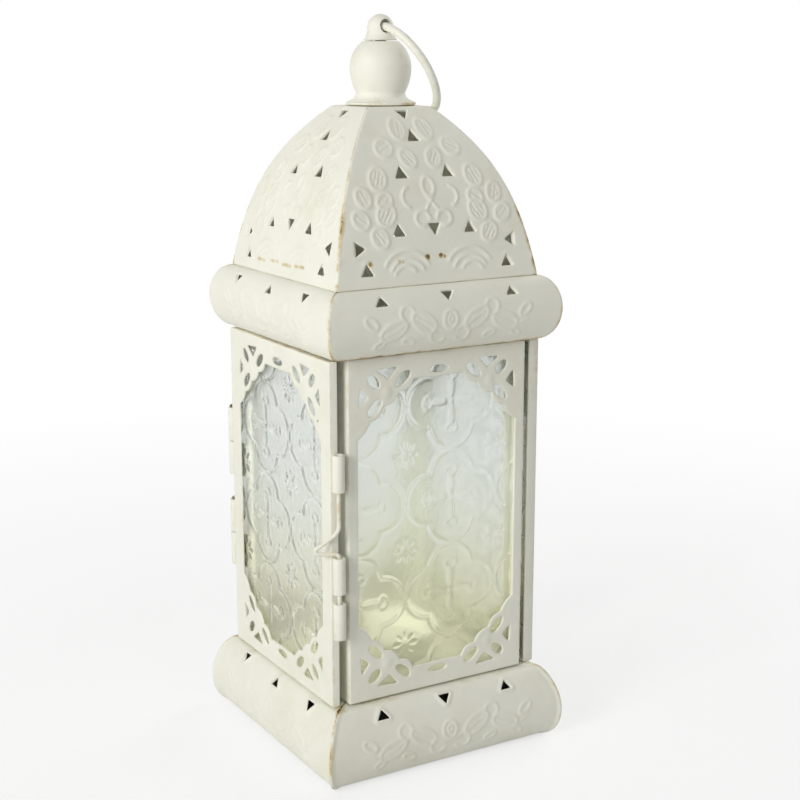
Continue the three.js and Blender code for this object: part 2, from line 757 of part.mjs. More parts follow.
// A tube standing on the Z axis with a flat pad towards +X, where it is soldered to a rim.
function doorTube(bore, z0) {
  const z1 = z0 + TUBE_HEIGHT;
  const padHalf = TUBE_RADIUS * 0.45;
  const pad = boxBetween([0, -padHalf, z0], [TUBE_RADIUS, padHalf, z1]);
  const tube = join([uprightCylinder(TUBE_RADIUS, z0, z1), pad]);
  return cut(tube, [uprightCylinder(bore, z0 - 1, z1 + 1)]);
}

// A tube on a bent leaf. The leaf runs behind the door's rim to the post and turns along it.
function postTube(bore, z0) {
  const z1 = z0 + TUBE_HEIGHT;
  const leafY = -(DOOR_FACE - DOOR_DEPTH - CLEAR) - TUBE_Y;
  const leafEnd = TUBE_X - POST_X - CLEAR;
  const turnedEnd = -(SIDE_HALF + 2 * CLEAR) - TUBE_Y;
  const solidTube = join([
    uprightCylinder(TUBE_RADIUS, z0, z1),
    boxBetween([0, leafY, z0], [leafEnd, leafY + LEAF, z1]),
    boxBetween([leafEnd - LEAF, leafY, z0], [leafEnd, turnedEnd, z1]),
  ]);
  return cut(solidTube, [uprightCylinder(bore, z0 - 1, z1 + 1)]);
}

function mirroredInX(geometry) {
  const mirrored = geometry.clone().scale(-1, 1, 1);
  return indexed(mirrored.attributes.position.array, Array.from(mirrored.index.array).reverse());
}

function hingePin(doorTubeZ) {
  const foot = doorTubeZ - CLEAR - TUBE_HEIGHT;
  const seat = doorTubeZ + TUBE_HEIGHT + CLEAR;
  return turned(
    [
      [0, foot],
      [PIN_RADIUS, foot],
      [PIN_RADIUS, seat],
      [PIN_HEAD_RADIUS, seat],
      [PIN_HEAD_RADIUS * 0.9, seat + PIN_HEAD * 0.6],
      [PIN_HEAD_RADIUS * 0.5, seat + PIN_HEAD],
      [0, seat + PIN_HEAD],
    ],
    14
  );
}

function hinges() {
  const group = new THREE.Group();
  const bore = PIN_RADIUS + CLEAR;
  for (const [level, z] of [['upper', TUBE_UPPER_Z], ['lower', TUBE_LOWER_Z]]) {
    group.add(
      named(`door_knuckle_${level}`, doorTube(bore, z), PAINT_LIGHT),
      named(`post_knuckle_${level}`, postTube(bore, z - CLEAR - TUBE_HEIGHT), PAINT_LIGHT),
      named(`hinge_pin_${level}`, hingePin(z), STEEL)
    );
  }
  group.position.set(-TUBE_X, TUBE_Y, 0);
  return group;
}

// A round wire along a flat line of points (distance out, height), standing in the plane that
// holds Z and the given direction.
function wireAlong(points, radius, direction, sides = 8) {
  const across = new THREE.Vector3(-direction.y, direction.x, 0);
  const position = [];
  points.forEach((point, i) => {
    const before = point.clone().sub(points[Math.max(i - 1, 0)]).normalize();
    const after = points[Math.min(i + 1, points.length - 1)].clone().sub(point).normalize();
    const along = before.clone().add(after).normalize();
    const reference = i === 0 ? after : before;
    const stretch = 1 / along.dot(reference);
    for (let k = 0; k < sides; k += 1) {
      const angle = (2 * Math.PI * k) / sides;
      const inPlane = radius * Math.cos(angle) * stretch;
      const out = point.x - along.y * inPlane;
      const vertex = direction.clone().multiplyScalar(out).addScaledVector(across, radius * Math.sin(angle));
      position.push(vertex.x, vertex.y, point.y + along.x * inPlane);
    }
  });
  const triangles = [];
  for (let i = 0; i + 1 < points.length; i += 1) {
    for (let k = 0; k < sides; k += 1) {
      const a = i * sides + k;
      const b = i * sides + ((k + 1) % sides);
      triangles.push(a, b, a + sides, b, b + sides, a + sides);
    }
  }
  const last = (points.length - 1) * sides;
  for (let k = 1; k + 1 < sides; k += 1) {
    triangles.push(0, k + 1, k, last, last + k, last + k + 1);
  }
  return facingOut(indexed(position, triangles));
}

// The bolt: a straight wire with a finger loop between the two tubes on the door. The lower end
// of the loop rests on the lower tube.
function latchBolt() {
  const seat = TUBE_LOWER_Z + TUBE_HEIGHT + CLEAR;
  const limb = seat + BOLT_RADIUS + CLEAR; // height of the loop's lower limb
  const turnIn = 2 * BOLT_RADIUS;
  const bend = FINGER_HEIGHT / 6;
  const knee = FINGER_LENGTH - 3 * BOLT_RADIUS;
  const tip = FINGER_LENGTH + BOLT_RADIUS;
  const path = new THREE.Path();
  path.moveTo(0, TUBE_UPPER_Z + BOLT_ENTRY);
  path.lineTo(0, seat + FINGER_HEIGHT + bend);
  path.quadraticCurveTo(0, seat + FINGER_HEIGHT, turnIn, seat + FINGER_HEIGHT - bend);
  path.lineTo(knee, limb + 2 * bend);
  path.bezierCurveTo(tip, limb + bend, tip, limb, knee, limb);
  path.lineTo(turnIn, limb);
  path.quadraticCurveTo(0, limb, 0, seat - CLEAR);
  path.lineTo(0, KEEPER_Z + TUBE_HEIGHT - BOLT_HOLD);
  const direction = new THREE.Vector3(-Math.sin(FINGER_TURN), -Math.cos(FINGER_TURN), 0);
  return wireAlong(path.getPoints(6), BOLT_RADIUS, direction);
}

function latch() {
  const group = new THREE.Group();
  const bore = BOLT_RADIUS + CLEAR;
  group.add(
    named('latch_tube_upper', mirroredInX(doorTube(bore, TUBE_UPPER_Z)), PAINT_LIGHT),
    named('latch_tube_lower', mirroredInX(doorTube(bore, TUBE_LOWER_Z)), PAINT_LIGHT),
    named('latch_keeper', mirroredInX(postTube(bore, KEEPER_Z)), PAINT_LIGHT),
    named('latch_bolt', latchBolt(), STEEL)
  );
  group.position.set(TUBE_X, TUBE_Y, 0);
  return group;
}

function door() {
  const z0 = BASE_HEIGHT + DOOR_PLAY;
  const z1 = EAVE_Z - DOOR_PLAY;
  return glazedFrame('door_frame', DOOR_HALF, DOOR_FACE, z0, z1, DOOR_DEPTH);
}

const lantern = new THREE.Group();
lantern.add(mouldings(), cornerPosts(), floor(), fixedFrames(), door(), hinges(), latch(), finial());

export default lantern;
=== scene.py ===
import math

import bmesh
import bpy
import numpy as np
from mathutils import Matrix, Vector
from mathutils.geometry import delaunay_2d_cdt

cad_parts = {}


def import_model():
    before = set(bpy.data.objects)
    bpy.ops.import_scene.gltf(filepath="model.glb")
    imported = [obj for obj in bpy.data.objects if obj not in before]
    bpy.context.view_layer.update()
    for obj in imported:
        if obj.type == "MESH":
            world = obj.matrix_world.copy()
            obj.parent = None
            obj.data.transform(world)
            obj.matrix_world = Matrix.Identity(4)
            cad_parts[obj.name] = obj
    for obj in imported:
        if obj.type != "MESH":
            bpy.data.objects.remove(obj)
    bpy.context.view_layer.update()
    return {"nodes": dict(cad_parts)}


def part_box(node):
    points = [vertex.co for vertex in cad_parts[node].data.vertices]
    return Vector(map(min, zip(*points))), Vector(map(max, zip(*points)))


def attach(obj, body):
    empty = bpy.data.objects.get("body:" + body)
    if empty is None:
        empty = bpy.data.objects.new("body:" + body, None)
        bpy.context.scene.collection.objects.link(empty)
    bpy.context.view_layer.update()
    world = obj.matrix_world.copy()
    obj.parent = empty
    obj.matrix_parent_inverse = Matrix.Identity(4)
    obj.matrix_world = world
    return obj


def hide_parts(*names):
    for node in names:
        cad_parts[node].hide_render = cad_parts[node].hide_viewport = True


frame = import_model()

# A square candle lantern of pressed, painted sheet metal. Lengths here are millimetres.

MM = 0.001
SIDES = ["front", "right", "back", "left"]


def box_mm(node):
    low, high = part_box(node)
    return np.array(low) / MM, np.array(high) / MM


# Sizes taken from the frame

BASE_LOW, BASE_HIGH = box_mm("base_moulding_right")
EAVE_LOW, EAVE_HIGH = box_mm("eave_moulding_right")
DOME_LOW, DOME_HIGH = box_mm("dome_panel_right")
BALL_LOW, BALL_HIGH = box_mm("finial_ball")
TUBE_LOW, TUBE_HIGH = box_mm("latch_tube_upper")
DOOR_FACE = -box_mm("door_frame")[0][1]
PATTERN_HALF = box_mm("right_frame")[1][1]

# Sizes that the pressed sheets share with their solids

SHEET = 0.9
MITRE_GAP = 0.3
SHELF_HALF = BASE_LOW[0]
BASE_BELLY_Z = 11.2
BASE_FOOT_TUCK = 7
BASE_SHOULDER_SETBACK = 1.4
BASE_SHOULDER_BULGE = 3.5
FOOT_FLANGE = 3.5
EAVE_SPREAD = 6.7
EAVE_TOP_FLANGE = 5
DOME_TOP_HALF = 13
DOME_FOOT_LEAN = 5
DOME_CROWN_REACH = 16
DOME_HOLE_WIDTH = 5.2
DOME_HOLE_HEIGHT = 4.2
RIM_HOLE_WIDTH = 5.2
RIM_HOLE_HEIGHT = 3.2
RIM_HOLE_PITCH = 26.4
EAVE_HOLE_DROP = 3.4
BASE_HOLE_DROP = 3.3

# Fineness of the modelled surfaces

FINE = 0.62
COARSE = 5
ROW_PITCH = 0.866
EDGE_STEP = 0.8
EDGE_ROUND = 0.36
EDGE_ROWS = (0.12, 0.34)
PROFILE_STEP = 0.3
HOLE_STEP = 0.42
CUTOUT_STEP = 0.5

# How far the relief stands out

RIPPLE_HEIGHT = 0.07
FRAME_RIPPLE_HEIGHT = 0.05
VINE_HEIGHT = 0.34
DOME_PATTERN_HEIGHT = 0.44
CREASE_DEPTH = 0.3
BASE_SINK = 0.5
FRAME_SINK = 0.32

# How worn the paint of the small pieces is

FITTING_WEAR = 0.3
RING_WEAR = 0.29
BOLT_WEAR = 0.6


# Plane outlines

def bezier(a, b, c, d, steps=24):
    t = np.linspace(0, 1, steps + 1)[:, None]
    a, b, c, d = (np.array(p, float) for p in (a, b, c, d))
    return (1 - t) ** 3 * a + 3 * (1 - t) ** 2 * t * b + 3 * (1 - t) * t**2 * c + t**3 * d


def ellipse_arc(centre, size, start, end, steps=36):
    angle = np.linspace(start, end, steps + 1)
    return np.stack([centre[0] + size[0] * np.cos(angle), centre[1] + size[1] * np.sin(angle)], 1)


def oval(centre, length, width, angle, steps=28):
    turn = np.linspace(0, 2 * math.pi, steps, endpoint=False)
    u = length / 2 * np.cos(turn)
    v = width / 2 * np.sin(turn)
    c, s = math.cos(angle), math.sin(angle)
    return np.stack([centre[0] + u * c - v * s, centre[1] + u * s + v * c], 1)


def resampled(points, step, closed=False):
    points = np.asarray(points, float)
    if closed:
        points = np.vstack([points, points[:1]])
    travelled = np.concatenate([[0], np.cumsum(np.hypot(*np.diff(points, axis=0).T))])
    count = max(int(round(travelled[-1] / step)), 3)
    at = np.linspace(0, travelled[-1], count + 1)
    line = np.stack([np.interp(at, travelled, points[:, k]) for k in (0, 1)], 1)
    return line[:-1] if closed else line


def rounded(corners, radius):
    corners = np.asarray(corners, float)
    points = []
    for i, corner in enumerate(corners):
        before = corners[i - 1] - corner
        after = corners[(i + 1) % len(corners)] - corner
        enter = corner + before / np.hypot(*before) * radius
        leave = corner + after / np.hypot(*after) * radius
        for t in np.linspace(0, 1, 5):
            points.append((1 - t) ** 2 * enter + 2 * t * (1 - t) * corner + t**2 * leave)
    return np.array(points)


def anticlockwise(loop):
    x, y = loop.T
    area = np.sum(x * np.roll(y, -1) - np.roll(x, -1) * y)
    return loop if area > 0 else loop[::-1]


def inside(points, loop):
    x, y = points.T
    result = np.zeros(len(points), bool)
    for (x1, y1), (x2, y2) in zip(loop, np.roll(loop, -1, axis=0)):
        if y1 != y2:
            crosses = (y1 > y) != (y2 > y)
            result ^= crosses & (x < (x2 - x1) * (y - y1) / (y2 - y1) + x1)
    return result


def edge_distance(points, loops):
    nearest = np.full(len(points), np.inf)
    for loop in loops:
        for a, b in zip(loop, np.roll(loop, -1, axis=0)):
            along = b - a
            t = np.clip(((points - a) @ along) / (along @ along), 0, 1)
            nearest = np.minimum(nearest, np.hypot(*(points - a - t[:, None] * along).T))
    return nearest


# Sheet meshes

def hexagonal_grid(outline, step):
    low, high = outline.min(0), outline.max(0)
    rows = np.arange(low[1] + step / 2, high[1], step * ROW_PITCH)
    columns = np.arange(low[0] + step / 2, high[0], step)
    x, y = np.meshgrid(columns, rows)
    x = x + (np.arange(len(rows)) % 2)[:, None] * step / 2
    return np.stack([x.ravel(), y.ravel()], 1)


def rows_beside(loops, distances):
    rows = []
    for k, loop in enumerate(loops):
        along = np.roll(loop, -1, axis=0) - np.roll(loop, 1, axis=0)
        normal = np.stack([-along[:, 1], along[:, 0]], 1) / np.hypot(*along.T)[:, None]
        into = 1 if k == 0 else -1
        for distance in distances:
            row = loop + into * distance * normal
            rows.append(row[edge_distance(row, loops) > 0.8 * distance])
    return np.vstack(rows)


def sheet_points(loops, step, edge_rows):
    grid = hexagonal_grid(loops[0], step)
    keep = inside(grid, loops[0])
    for hole in loops[1:]:
        keep &= ~inside(grid, hole)
    grid = grid[keep]
    grid = grid[edge_distance(grid, loops) > max(edge_rows, default=0) + step * 0.45]
    parts = [*loops, grid]
    if edge_rows:
        parts.append(rows_beside(loops, edge_rows))
    return np.vstack(parts)


def triangles_between(points, loops):
    edges = []
    start = 0
    for loop in loops:
        count = len(loop)
        edges += [(start + i, start + (i + 1) % count) for i in range(count)]
        start += count
    flat = [Vector((float(x), float(y))) for x, y in points]
    _, _, faces, origins, _, _ = delaunay_2d_cdt(flat, edges, [], 0, 1e-7)
    first = np.array([origin[0] if origin else -1 for origin in origins])
    triangles = first[np.array(faces)]
    centres = points[triangles].mean(1)
    keep = inside(centres, loops[0]) & (triangles.min(1) >= 0)
    for hole in loops[1:]:
        keep &= ~inside(centres, hole)
    return triangles[keep]


def joined_loops(first, second, sizes):
    """Quads between two sets of loops whose vertices start at first and second."""
    quads = []
    start = 0
    for size in sizes:
        for i in range(size):
            j = start + (i + 1) % size
            i += start
            quads.append((first + i, first + j, second + j, second + i))
        start += size
    return quads


def closed_sheet(loops, back_loops, front, back, step, rim=()):
    """A sheet between a detailed front and a plain back. rim holds rows of points that lead from
    the front's outline to the back's."""
    front_flat = sheet_points(loops, step, EDGE_ROWS)
    back_flat = sheet_points(back_loops, COARSE, ())
    front_faces = triangles_between(front_flat, loops)
    back_faces = triangles_between(back_flat, back_loops)
    points = [front(front_flat, edge_distance(front_flat, loops)), back(back_flat)]
    back_start = len(front_flat)
    faces = [tuple(f) for f in front_faces] + [tuple(f[::-1] + back_start) for f in back_faces]
    sizes = [len(loop) for loop in loops]
    previous = 0
    total = back_start + len(back_flat)
    for row in rim:
        points.append(row)
        faces += joined_loops(previous, total, sizes[:1])
        previous = total
        total += len(row)
    faces += joined_loops(previous, back_start, sizes[:1])
    faces += joined_loops(sizes[0], back_start + sizes[0], sizes[1:])
    return front_flat, np.vstack(points), faces


def edge_drop(distance):
    """How far the rounded edge of a sheet falls away at a distance from its outline."""
    inner = np.clip(EDGE_ROUND - distance, 0, EDGE_ROUND)
    return EDGE_ROUND - np.sqrt(EDGE_ROUND**2 - inner**2)


def turned(points, turn):
    angle = turn * math.pi / 2
    c, s = math.cos(angle), math.sin(angle)
    x, y, z = points.T
    return np.stack([x * c - y * s, x * s + y * c, z], 1)


# Pieces

def set_wear(mesh, wear):
    """How worn the paint is: one number for all vertices, or one for each."""
    layer = mesh.attributes.get("wear") or mesh.attributes.new("wear", "FLOAT", "POINT")
    layer.data.foreach_set("value", np.full(len(mesh.vertices), wear, np.float32))


def shade(mesh, fold):
    """Smooth shading, apart from folds of more than this many degrees."""
    mesh.shade_smooth()
    mesh.set_sharp_from_angle(angle=math.radians(fold))


def smooth_mesh(name, points, faces, slot, wear=None):
    mesh = bpy.data.meshes.new(name)
    mesh.from_pydata((np.asarray(points) * MM).tolist(), [], [tuple(map(int, f)) for f in faces])
    if wear is not None:
        set_wear(mesh, wear)
    shape = bmesh.new()
    shape.from_mesh(mesh)
    bmesh.ops.recalc_face_normals(shape, faces=shape.faces)
    shape.to_mesh(mesh)
    shape.free()
    mesh.materials.append(MATERIALS[slot])
    shade(mesh, 50)
    return mesh


def add_object(name, data):
    made = bpy.data.objects.new(name, data)
    bpy.context.scene.collection.objects.link(made)
    return made


def place(name, mesh, body, slot, *nodes):
    piece = add_object(name, mesh)
    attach(piece, body)
    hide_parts(*nodes)


def add_piece(name, points, faces, body, slot, node, wear=None):
    place(name, smooth_mesh(name, points, faces, slot, wear), body, slot, node)


# Materials

def linear(red, green, blue):
    values = []
    for value in (red, green, blue):
        value /= 255
        values.append(value / 12.92 if value <= 0.04045 else ((value + 0.055) / 1.055) ** 2.4)
    return (*values, 1)


CREAM = linear(242, 242, 230)
CREAM_SHADE = linear(231, 230, 215)
YELLOWED = linear(224, 219, 195)
OCHRE = linear(206, 184, 130)
BROWN = linear(112, 96, 66)
SPECK_BROWN = linear(112, 92, 68)
STEEL_GREY = linear(150, 144, 132)
STEEL_STAIN = linear(98, 82, 64)
GLASS_TINT = linear(249, 251, 249)
GLASS_CLOUD = linear(238, 242, 238)
# Painted reflection: the yellow of the cream floor plate, seen low down through the glass
GLASS_FLOOR_REFLECTION = linear(240, 238, 216)
GLASS_CLEAR = linear(250, 252, 249)

# Heights between which the painted reflection of the cream floor plate, seen through the glass, fades out,
# in metres

FLOOR_REFLECTION_FULL = 0.045
FLOOR_REFLECTION_END = 0.1


def set_inputs(tree, node, inputs):
    """Each input gets a value, or a link from another node's output."""
    for key, value in inputs.items():
        if isinstance(value, bpy.types.NodeSocket):
            tree.links.new(value, node.inputs[key])
        else:
            node.inputs[key].default_value = value


def add_node(tree, kind, inputs=None, **settings):
    made = tree.nodes.new(kind)
    for key, value in settings.items():
        setattr(made, key, value)
    set_inputs(tree, made, inputs or {})
    return made


def new_material(name):
    material = bpy.data.materials.new(name)
    material.use_nodes = True
    tree = material.node_tree
    shader = tree.nodes["Principled BSDF"]
    return material, tree, shader


def object_place(tree):
    where = tree.nodes.get("Texture Coordinate") or add_node(tree, "ShaderNodeTexCoord")
    return where.outputs["Object"]


def noise(tree, scale, detail=3, roughness=0.55):
    inputs = {"Vector": object_place(tree), "Scale": scale, "Detail": detail, "Roughness": roughness}
    return add_node(tree, "ShaderNodeTexNoise", inputs).outputs["Fac"]


def math_node(tree, operation, *values):
    return add_node(tree, "ShaderNodeMath", dict(enumerate(values)), operation=operation).outputs[0]


def stretched(tree, value, low, high, to_low=0.0, to_high=1.0):
    inputs = {"Value": value, "From Min": low, "From Max": high, "To Min": to_low, "To Max": to_high}
    return add_node(tree, "ShaderNodeMapRange", inputs, clamp=True).outputs["Result"]


def mixed(tree, factor, a, b):
    inputs = {0: factor, 6: a, 7: b}
    return add_node(tree, "ShaderNodeMix", inputs, data_type="RGBA").outputs[2]


def mixed_shaders(tree, factor, first, second):
    inputs = {0: factor, 1: first.outputs[0], 2: second.outputs[0]}
    return add_node(tree, "ShaderNodeMixShader", inputs)


def speck_mask(tree, scale, share, radius):
    """Small round marks: a share of the cells of a pattern, with this radius in cells."""
    cells = add_node(tree, "ShaderNodeTexVoronoi", {"Vector": object_place(tree), "Scale": scale})
    chance = add_node(tree, "ShaderNodeSeparateColor", {"Color": cells.outputs["Color"]})
    chosen = math_node(tree, "GREATER_THAN", chance.outputs[0], 1 - share)
    size = stretched(tree, chance.outputs[1], 0, 1, radius * 0.4, radius)
    spot = math_node(tree, "LESS_THAN", cells.outputs["Distance"], size)
    return math_node(tree, "MULTIPLY", chosen, spot)


def roughen(tree, shader, height, strength, depth):
    """Bump a surface by a height from 0 to 1, which stands for this depth in metres."""
    bump = add_node(tree, "ShaderNodeBump", {"Height": height, "Strength": strength, "Distance": depth})
    set_inputs(tree, shader, {"Normal": bump.outputs["Normal"]})


def worn_paint():
    """Antique white paint over sheet metal, rubbed to ochre and brown along ridges and seams."""
    material, tree, shader = new_material("worn_paint")
    cream = mixed(tree, noise(tree, 55, 4), CREAM, CREAM_SHADE)
    patches = stretched(tree, noise(tree, 24, 5, 0.7), 0.52, 0.72, 0, 0.5)
    cream = mixed(tree, patches, cream, YELLOWED)
    wear = add_node(tree, "ShaderNodeAttribute", attribute_name="wear").outputs["Fac"]
    ragged = noise(tree, 210, 6, 0.7)
    uneven = stretched(tree, noise(tree, 42, 3), 0.36, 0.62, 0.35, 1.15)
    rubbed = math_node(tree, "MULTIPLY", wear, stretched(tree, ragged, 0.34, 0.62))
    rubbed = math_node(tree, "MULTIPLY", rubbed, uneven)
    ochre = stretched(tree, rubbed, 0.16, 0.6, 0, 0.85)
    colour = mixed(tree, ochre, cream, OCHRE)
    deep = stretched(tree, math_node(tree, "MULTIPLY", rubbed, noise(tree, 480, 3)), 0.36, 0.6)
    colour = mixed(tree, deep, colour, BROWN)
    specks = speck_mask(tree, 95, 0.1, 0.05)
    colour = mixed(tree, math_node(tree, "MULTIPLY", specks, 0.75), colour, SPECK_BROWN)
    rough = stretched(tree, noise(tree, 130, 4), 0.3, 0.7, 0.44, 0.66)
    set_inputs(tree, shader, {"Base Color": colour, "Roughness": rough, "Specular IOR Level": 0.4})
    skin = math_node(tree, "SUBTRACT", noise(tree, 620, 4, 0.6), math_node(tree, "MULTIPLY", ochre, 0.7))
    roughen(tree, shader, skin, 0.3, 0.00012)
    return material


def dark_steel():
    """Dull steel with brown stains."""
    material, tree, shader = new_material("dark_steel")
    stain = stretched(tree, noise(tree, 260, 5, 0.65), 0.42, 0.62)
    colour = mixed(tree, stain, STEEL_GREY, STEEL_STAIN)
    rough = stretched(tree, stain, 0, 1, 0.35, 0.7)
    set_inputs(tree, shader, {"Base Color": colour, "Roughness": rough, "Metallic": 0.9})
    roughen(tree, shader, noise(tree, 900, 3), 0.25, 0.00008)
    return material


def pressed_glass():
    """Cloudy pressed glass with a faint green cast. Low down it is painted yellower, a painted reflection
    of the cream floor plate seen through it. It lets light through to the inside."""
    material, tree, shader = new_material("pressed_glass")
    colour = mixed(tree, noise(tree, 40, 3), GLASS_TINT, GLASS_CLOUD)
    # Low down the glass is painted yellower, a painted reflection of the cream floor plate seen through it
    height = add_node(tree, "ShaderNodeSeparateXYZ", {0: object_place(tree)}).outputs[2]
    floor_reflection = stretched(tree, height, FLOOR_REFLECTION_FULL, FLOOR_REFLECTION_END, 0.7, 0)
    colour = mixed(tree, floor_reflection, colour, GLASS_FLOOR_REFLECTION)
    looks = {"Base Color": colour, "Roughness": 0.2, "IOR": 1.45, "Transmission Weight": 0.92}
    set_inputs(tree, shader, looks)
    roughen(tree, shader, noise(tree, 520, 3, 0.6), 0.4, 0.0002)
    light_path = add_node(tree, "ShaderNodeLightPath")
    clear = add_node(tree, "ShaderNodeBsdfTransparent", {"Color": GLASS_CLEAR})
    result = mixed_shaders(tree, light_path.outputs["Is Shadow Ray"], shader, clear)
    set_inputs(tree, tree.nodes["Material Output"], {"Surface": result.outputs[0]})
    return material


MATERIALS = {"paint": worn_paint(), "bare_steel": dark_steel(), "pressed_glass": pressed_glass()}


# Relief that is pressed into the sheets, as heights from 0 to 1

def ridge(distance, width):
    return np.exp(-((distance / width) ** 2))


def oval_field(x, y, centre, length, width, degrees):
    """Distance out from an ellipse's outline, and the place across its length."""
    angle = math.radians(degrees)
    dx, dy = x - centre[0], y - centre[1]
    u = dx * math.cos(angle) + dy * math.sin(angle)
    v = -dx * math.sin(angle) + dy * math.cos(angle)
    rx, ry = length / 2, width / 2
    k0 = np.hypot(u / rx, v / ry)
    k1 = np.maximum(np.hypot(u / rx**2, v / ry**2), 1e-6)
    return k0 * (k0 - 1) / k1, v


def ring_ridge(x, y, centre, length, width, degrees=0, line=0.55):
    distance, _ = oval_field(x, y, centre, length, width, degrees)
    return ridge(distance, line)


def veined_leaf(x, y, centre, length, width, degrees, veins=(-1.35, 0.1, 1.5)):
    distance, v = oval_field(x, y, centre, length, width, degrees)
    rim = ridge(distance + 0.4, 0.62)
    within = np.clip((-distance - 0.9) / 0.5, 0, 1)
    stripes = np.maximum.reduce([ridge(v - vein, 0.42) for vein in veins])
    return np.maximum(rim, 0.85 * stripes * within)


def arc_ridge(x, y, centre, radius, start, end, line=0.5):
    """A raised line along part of a circle. Angles are degrees from +X."""
    dx, dy = x - centre[0], y - centre[1]
    angle = np.degrees(np.arctan2(dy, dx))
    middle = (start + end) / 2
    off = np.abs((angle - middle + 180) % 360 - 180) - (end - start) / 2
    fade = np.clip(1 - np.maximum(off, 0) / 12, 0, 1)
    return ridge(np.hypot(dx, dy) - radius, line) * fade


def line_ridge(x, y, a, b, line=0.45):
    a, b = np.array(a, float), np.array(b, float)
    along = b - a
    t = np.clip(((x - a[0]) * along[0] + (y - a[1]) * along[1]) / (along @ along), 0, 1)
    return ridge(np.hypot(x - a[0] - t * along[0], y - a[1] - t * along[1]), line)


def mirrored(shape, x, y):
    """The same raised shape on both sides of the middle."""
    return np.maximum(shape(x, y), shape(-x, y))


def ripple(x, y):
    """Slow waves of hand-pressed sheet."""
    return (
        0.5 * np.sin(x * 0.21 + 1.3) * np.sin(y * 0.17 + 0.4)
        + 0.3 * np.sin(x * 0.43 - y * 0.31)
        + 0.2 * np.sin(y * 0.67 + 2.1)
    )


# Leaves of a dome panel: distance from the middle, height above the foot, length, slope of veins.

DOME_LEAVES = [
    [5.4, 51.4, 7.6, 75],
    [13.5, 45.4, 7.4, 25],
    [5.2, 41.8, 7.2, 125],
    [19.3, 35.5, 8.2, 65],
    [26.3, 29.6, 7.2, 110],
    [18.3, 28.3, 6.8, 35],
    [28.5, 22.5, 7.2, 140],
    [18.5, 23.8, 8.6, 55],
    [22, 16.3, 7.6, 125],
]
LEAF_SHAPE = 0.83
CREASE_RISE = 9
CREASE_WIDTH = 1.3


def dome_relief(x, z):
    """Leaves, rings and swags of a dome panel. z is the height above the dome's foot."""
    height = ring_ridge(x, z, (0, 32.5), 6.2, 4.6, 90)
    for reach, rise, length, slope in DOME_LEAVES:
        left = veined_leaf(x, z, (-reach, rise), length, length * LEAF_SHAPE, slope)
        right = veined_leaf(x, z, (reach, rise), length, length * LEAF_SHAPE, 180 - slope)
        height = np.maximum.reduce([height, left, right])

    def scrolls(u, v):
        return np.maximum.reduce([
            ring_ridge(u, v, (4.3, 21.9), 5.6, 5, 0),
            arc_ridge(u, v, (7.6, 29.1), 3.4, -70, 75),
            line_ridge(u, v, (1.2, 29.4), (-2.6, 24.6)),
            arc_ridge(u, v, (12.6, 1.6), 10.2, 38, 142),
            arc_ridge(u, v, (12.6, 1.6), 7.4, 34, 146),
            arc_ridge(u, v, (13.4, 1.8), 4.9, 30, 140),
        ])

    return np.maximum(height, mirrored(scrolls, x, z))


def vine_relief(x, y):
    """Leaves and tendrils along the middle of a moulding. y runs up its face from the middle."""
    stem = ridge(y + 2.6 * np.cos(x * 0.235), 0.45) * np.clip((34 - np.abs(x)) / 3, 0, 1)

    def half(u, v):
        return np.maximum.reduce([
            veined_leaf(u, v, (10.6, 1.4), 11.5, 6.4, 32, (-1.6, 0, 1.6)),
            veined_leaf(u, v, (22.6, -0.6), 11.5, 6.2, -24, (-1.5, 0, 1.5)),
            ring_ridge(u, v, (31.2, 2.6), 5.6, 3, 40, 0.5),
            ring_ridge(u, v, (16.4, -5), 4.6, 2.4, 20, 0.45),
            ring_ridge(u, v, (27.6, -5.4), 4.2, 2.2, -30, 0.45),
            arc_ridge(u, v, (4.8, -3.4), 3, -150, 60),
            arc_ridge(u, v, (17.2, 5), 2.6, -60, 170),
        ])

    heart = ring_ridge(x, y, (0, 1.6), 6.6, 5.2, 90)
    drop = ring_ridge(x, y, (0, 1.8), 2.6, 1.7, 90, 0.4)
    return np.maximum.reduce([stem * 0.8, heart, drop, mirrored(half, x, y)])


# Mitred sides of the base, the eave and the dome

class Profile:
    """A line of (half side, height) on the outside of a square shell, by the way along it."""

    def __init__(self, points):
        line = resampled(points, PROFILE_STEP)
        for _ in range(6):
            line[1:-1] = (line[:-2] + 2 * line[1:-1] + line[2:]) / 4
        self.half, self.z = line.T
        self.way = np.concatenate([[0], np.cumsum(np.hypot(*np.diff(line, axis=0).T))])
        along = np.gradient(line, axis=0)
        along /= np.hypot(*along.T)[:, None]
        self.out, self.up = along[:, 1], -along[:, 0]

    def at(self, way):
        return [np.interp(way, self.way, values) for values in (self.half, self.z, self.out, self.up)]

    def way_at(self, z):
        return np.interp(z, self.z, self.way)


def base_profile():
    top = BASE_HIGH[2]
    belly = BASE_HIGH[0]
    shoulder = DOOR_FACE - BASE_SHOULDER_SETBACK
    foot = belly - BASE_FOOT_TUCK
    roundness = 0.42
    return Profile(np.vstack([
        [[foot - FOOT_FLANGE, 0]],
        bezier((foot, 0), (belly - BASE_FOOT_TUCK / 4, 0),
               (belly, BASE_BELLY_Z * roundness), (belly, BASE_BELLY_Z)),
        bezier((belly, BASE_BELLY_Z), (belly, BASE_BELLY_Z + (top - BASE_BELLY_Z) * roundness),
               (shoulder + BASE_SHOULDER_BULGE, top), (shoulder, top))[1:],
        [[SHELF_HALF, top]],
    ]))


def eave_profile():
    bottom, top = EAVE_LOW[2], EAVE_HIGH[2]
    root = EAVE_HIGH[0] - EAVE_SPREAD
    bulge = ellipse_arc((root, (bottom + top) / 2), (EAVE_SPREAD, (top - bottom) / 2),
                        -math.pi / 2, math.pi / 2)
    return Profile(np.vstack([[[SHELF_HALF, bottom]], bulge, [[root - EAVE_TOP_FLANGE, top]]]))


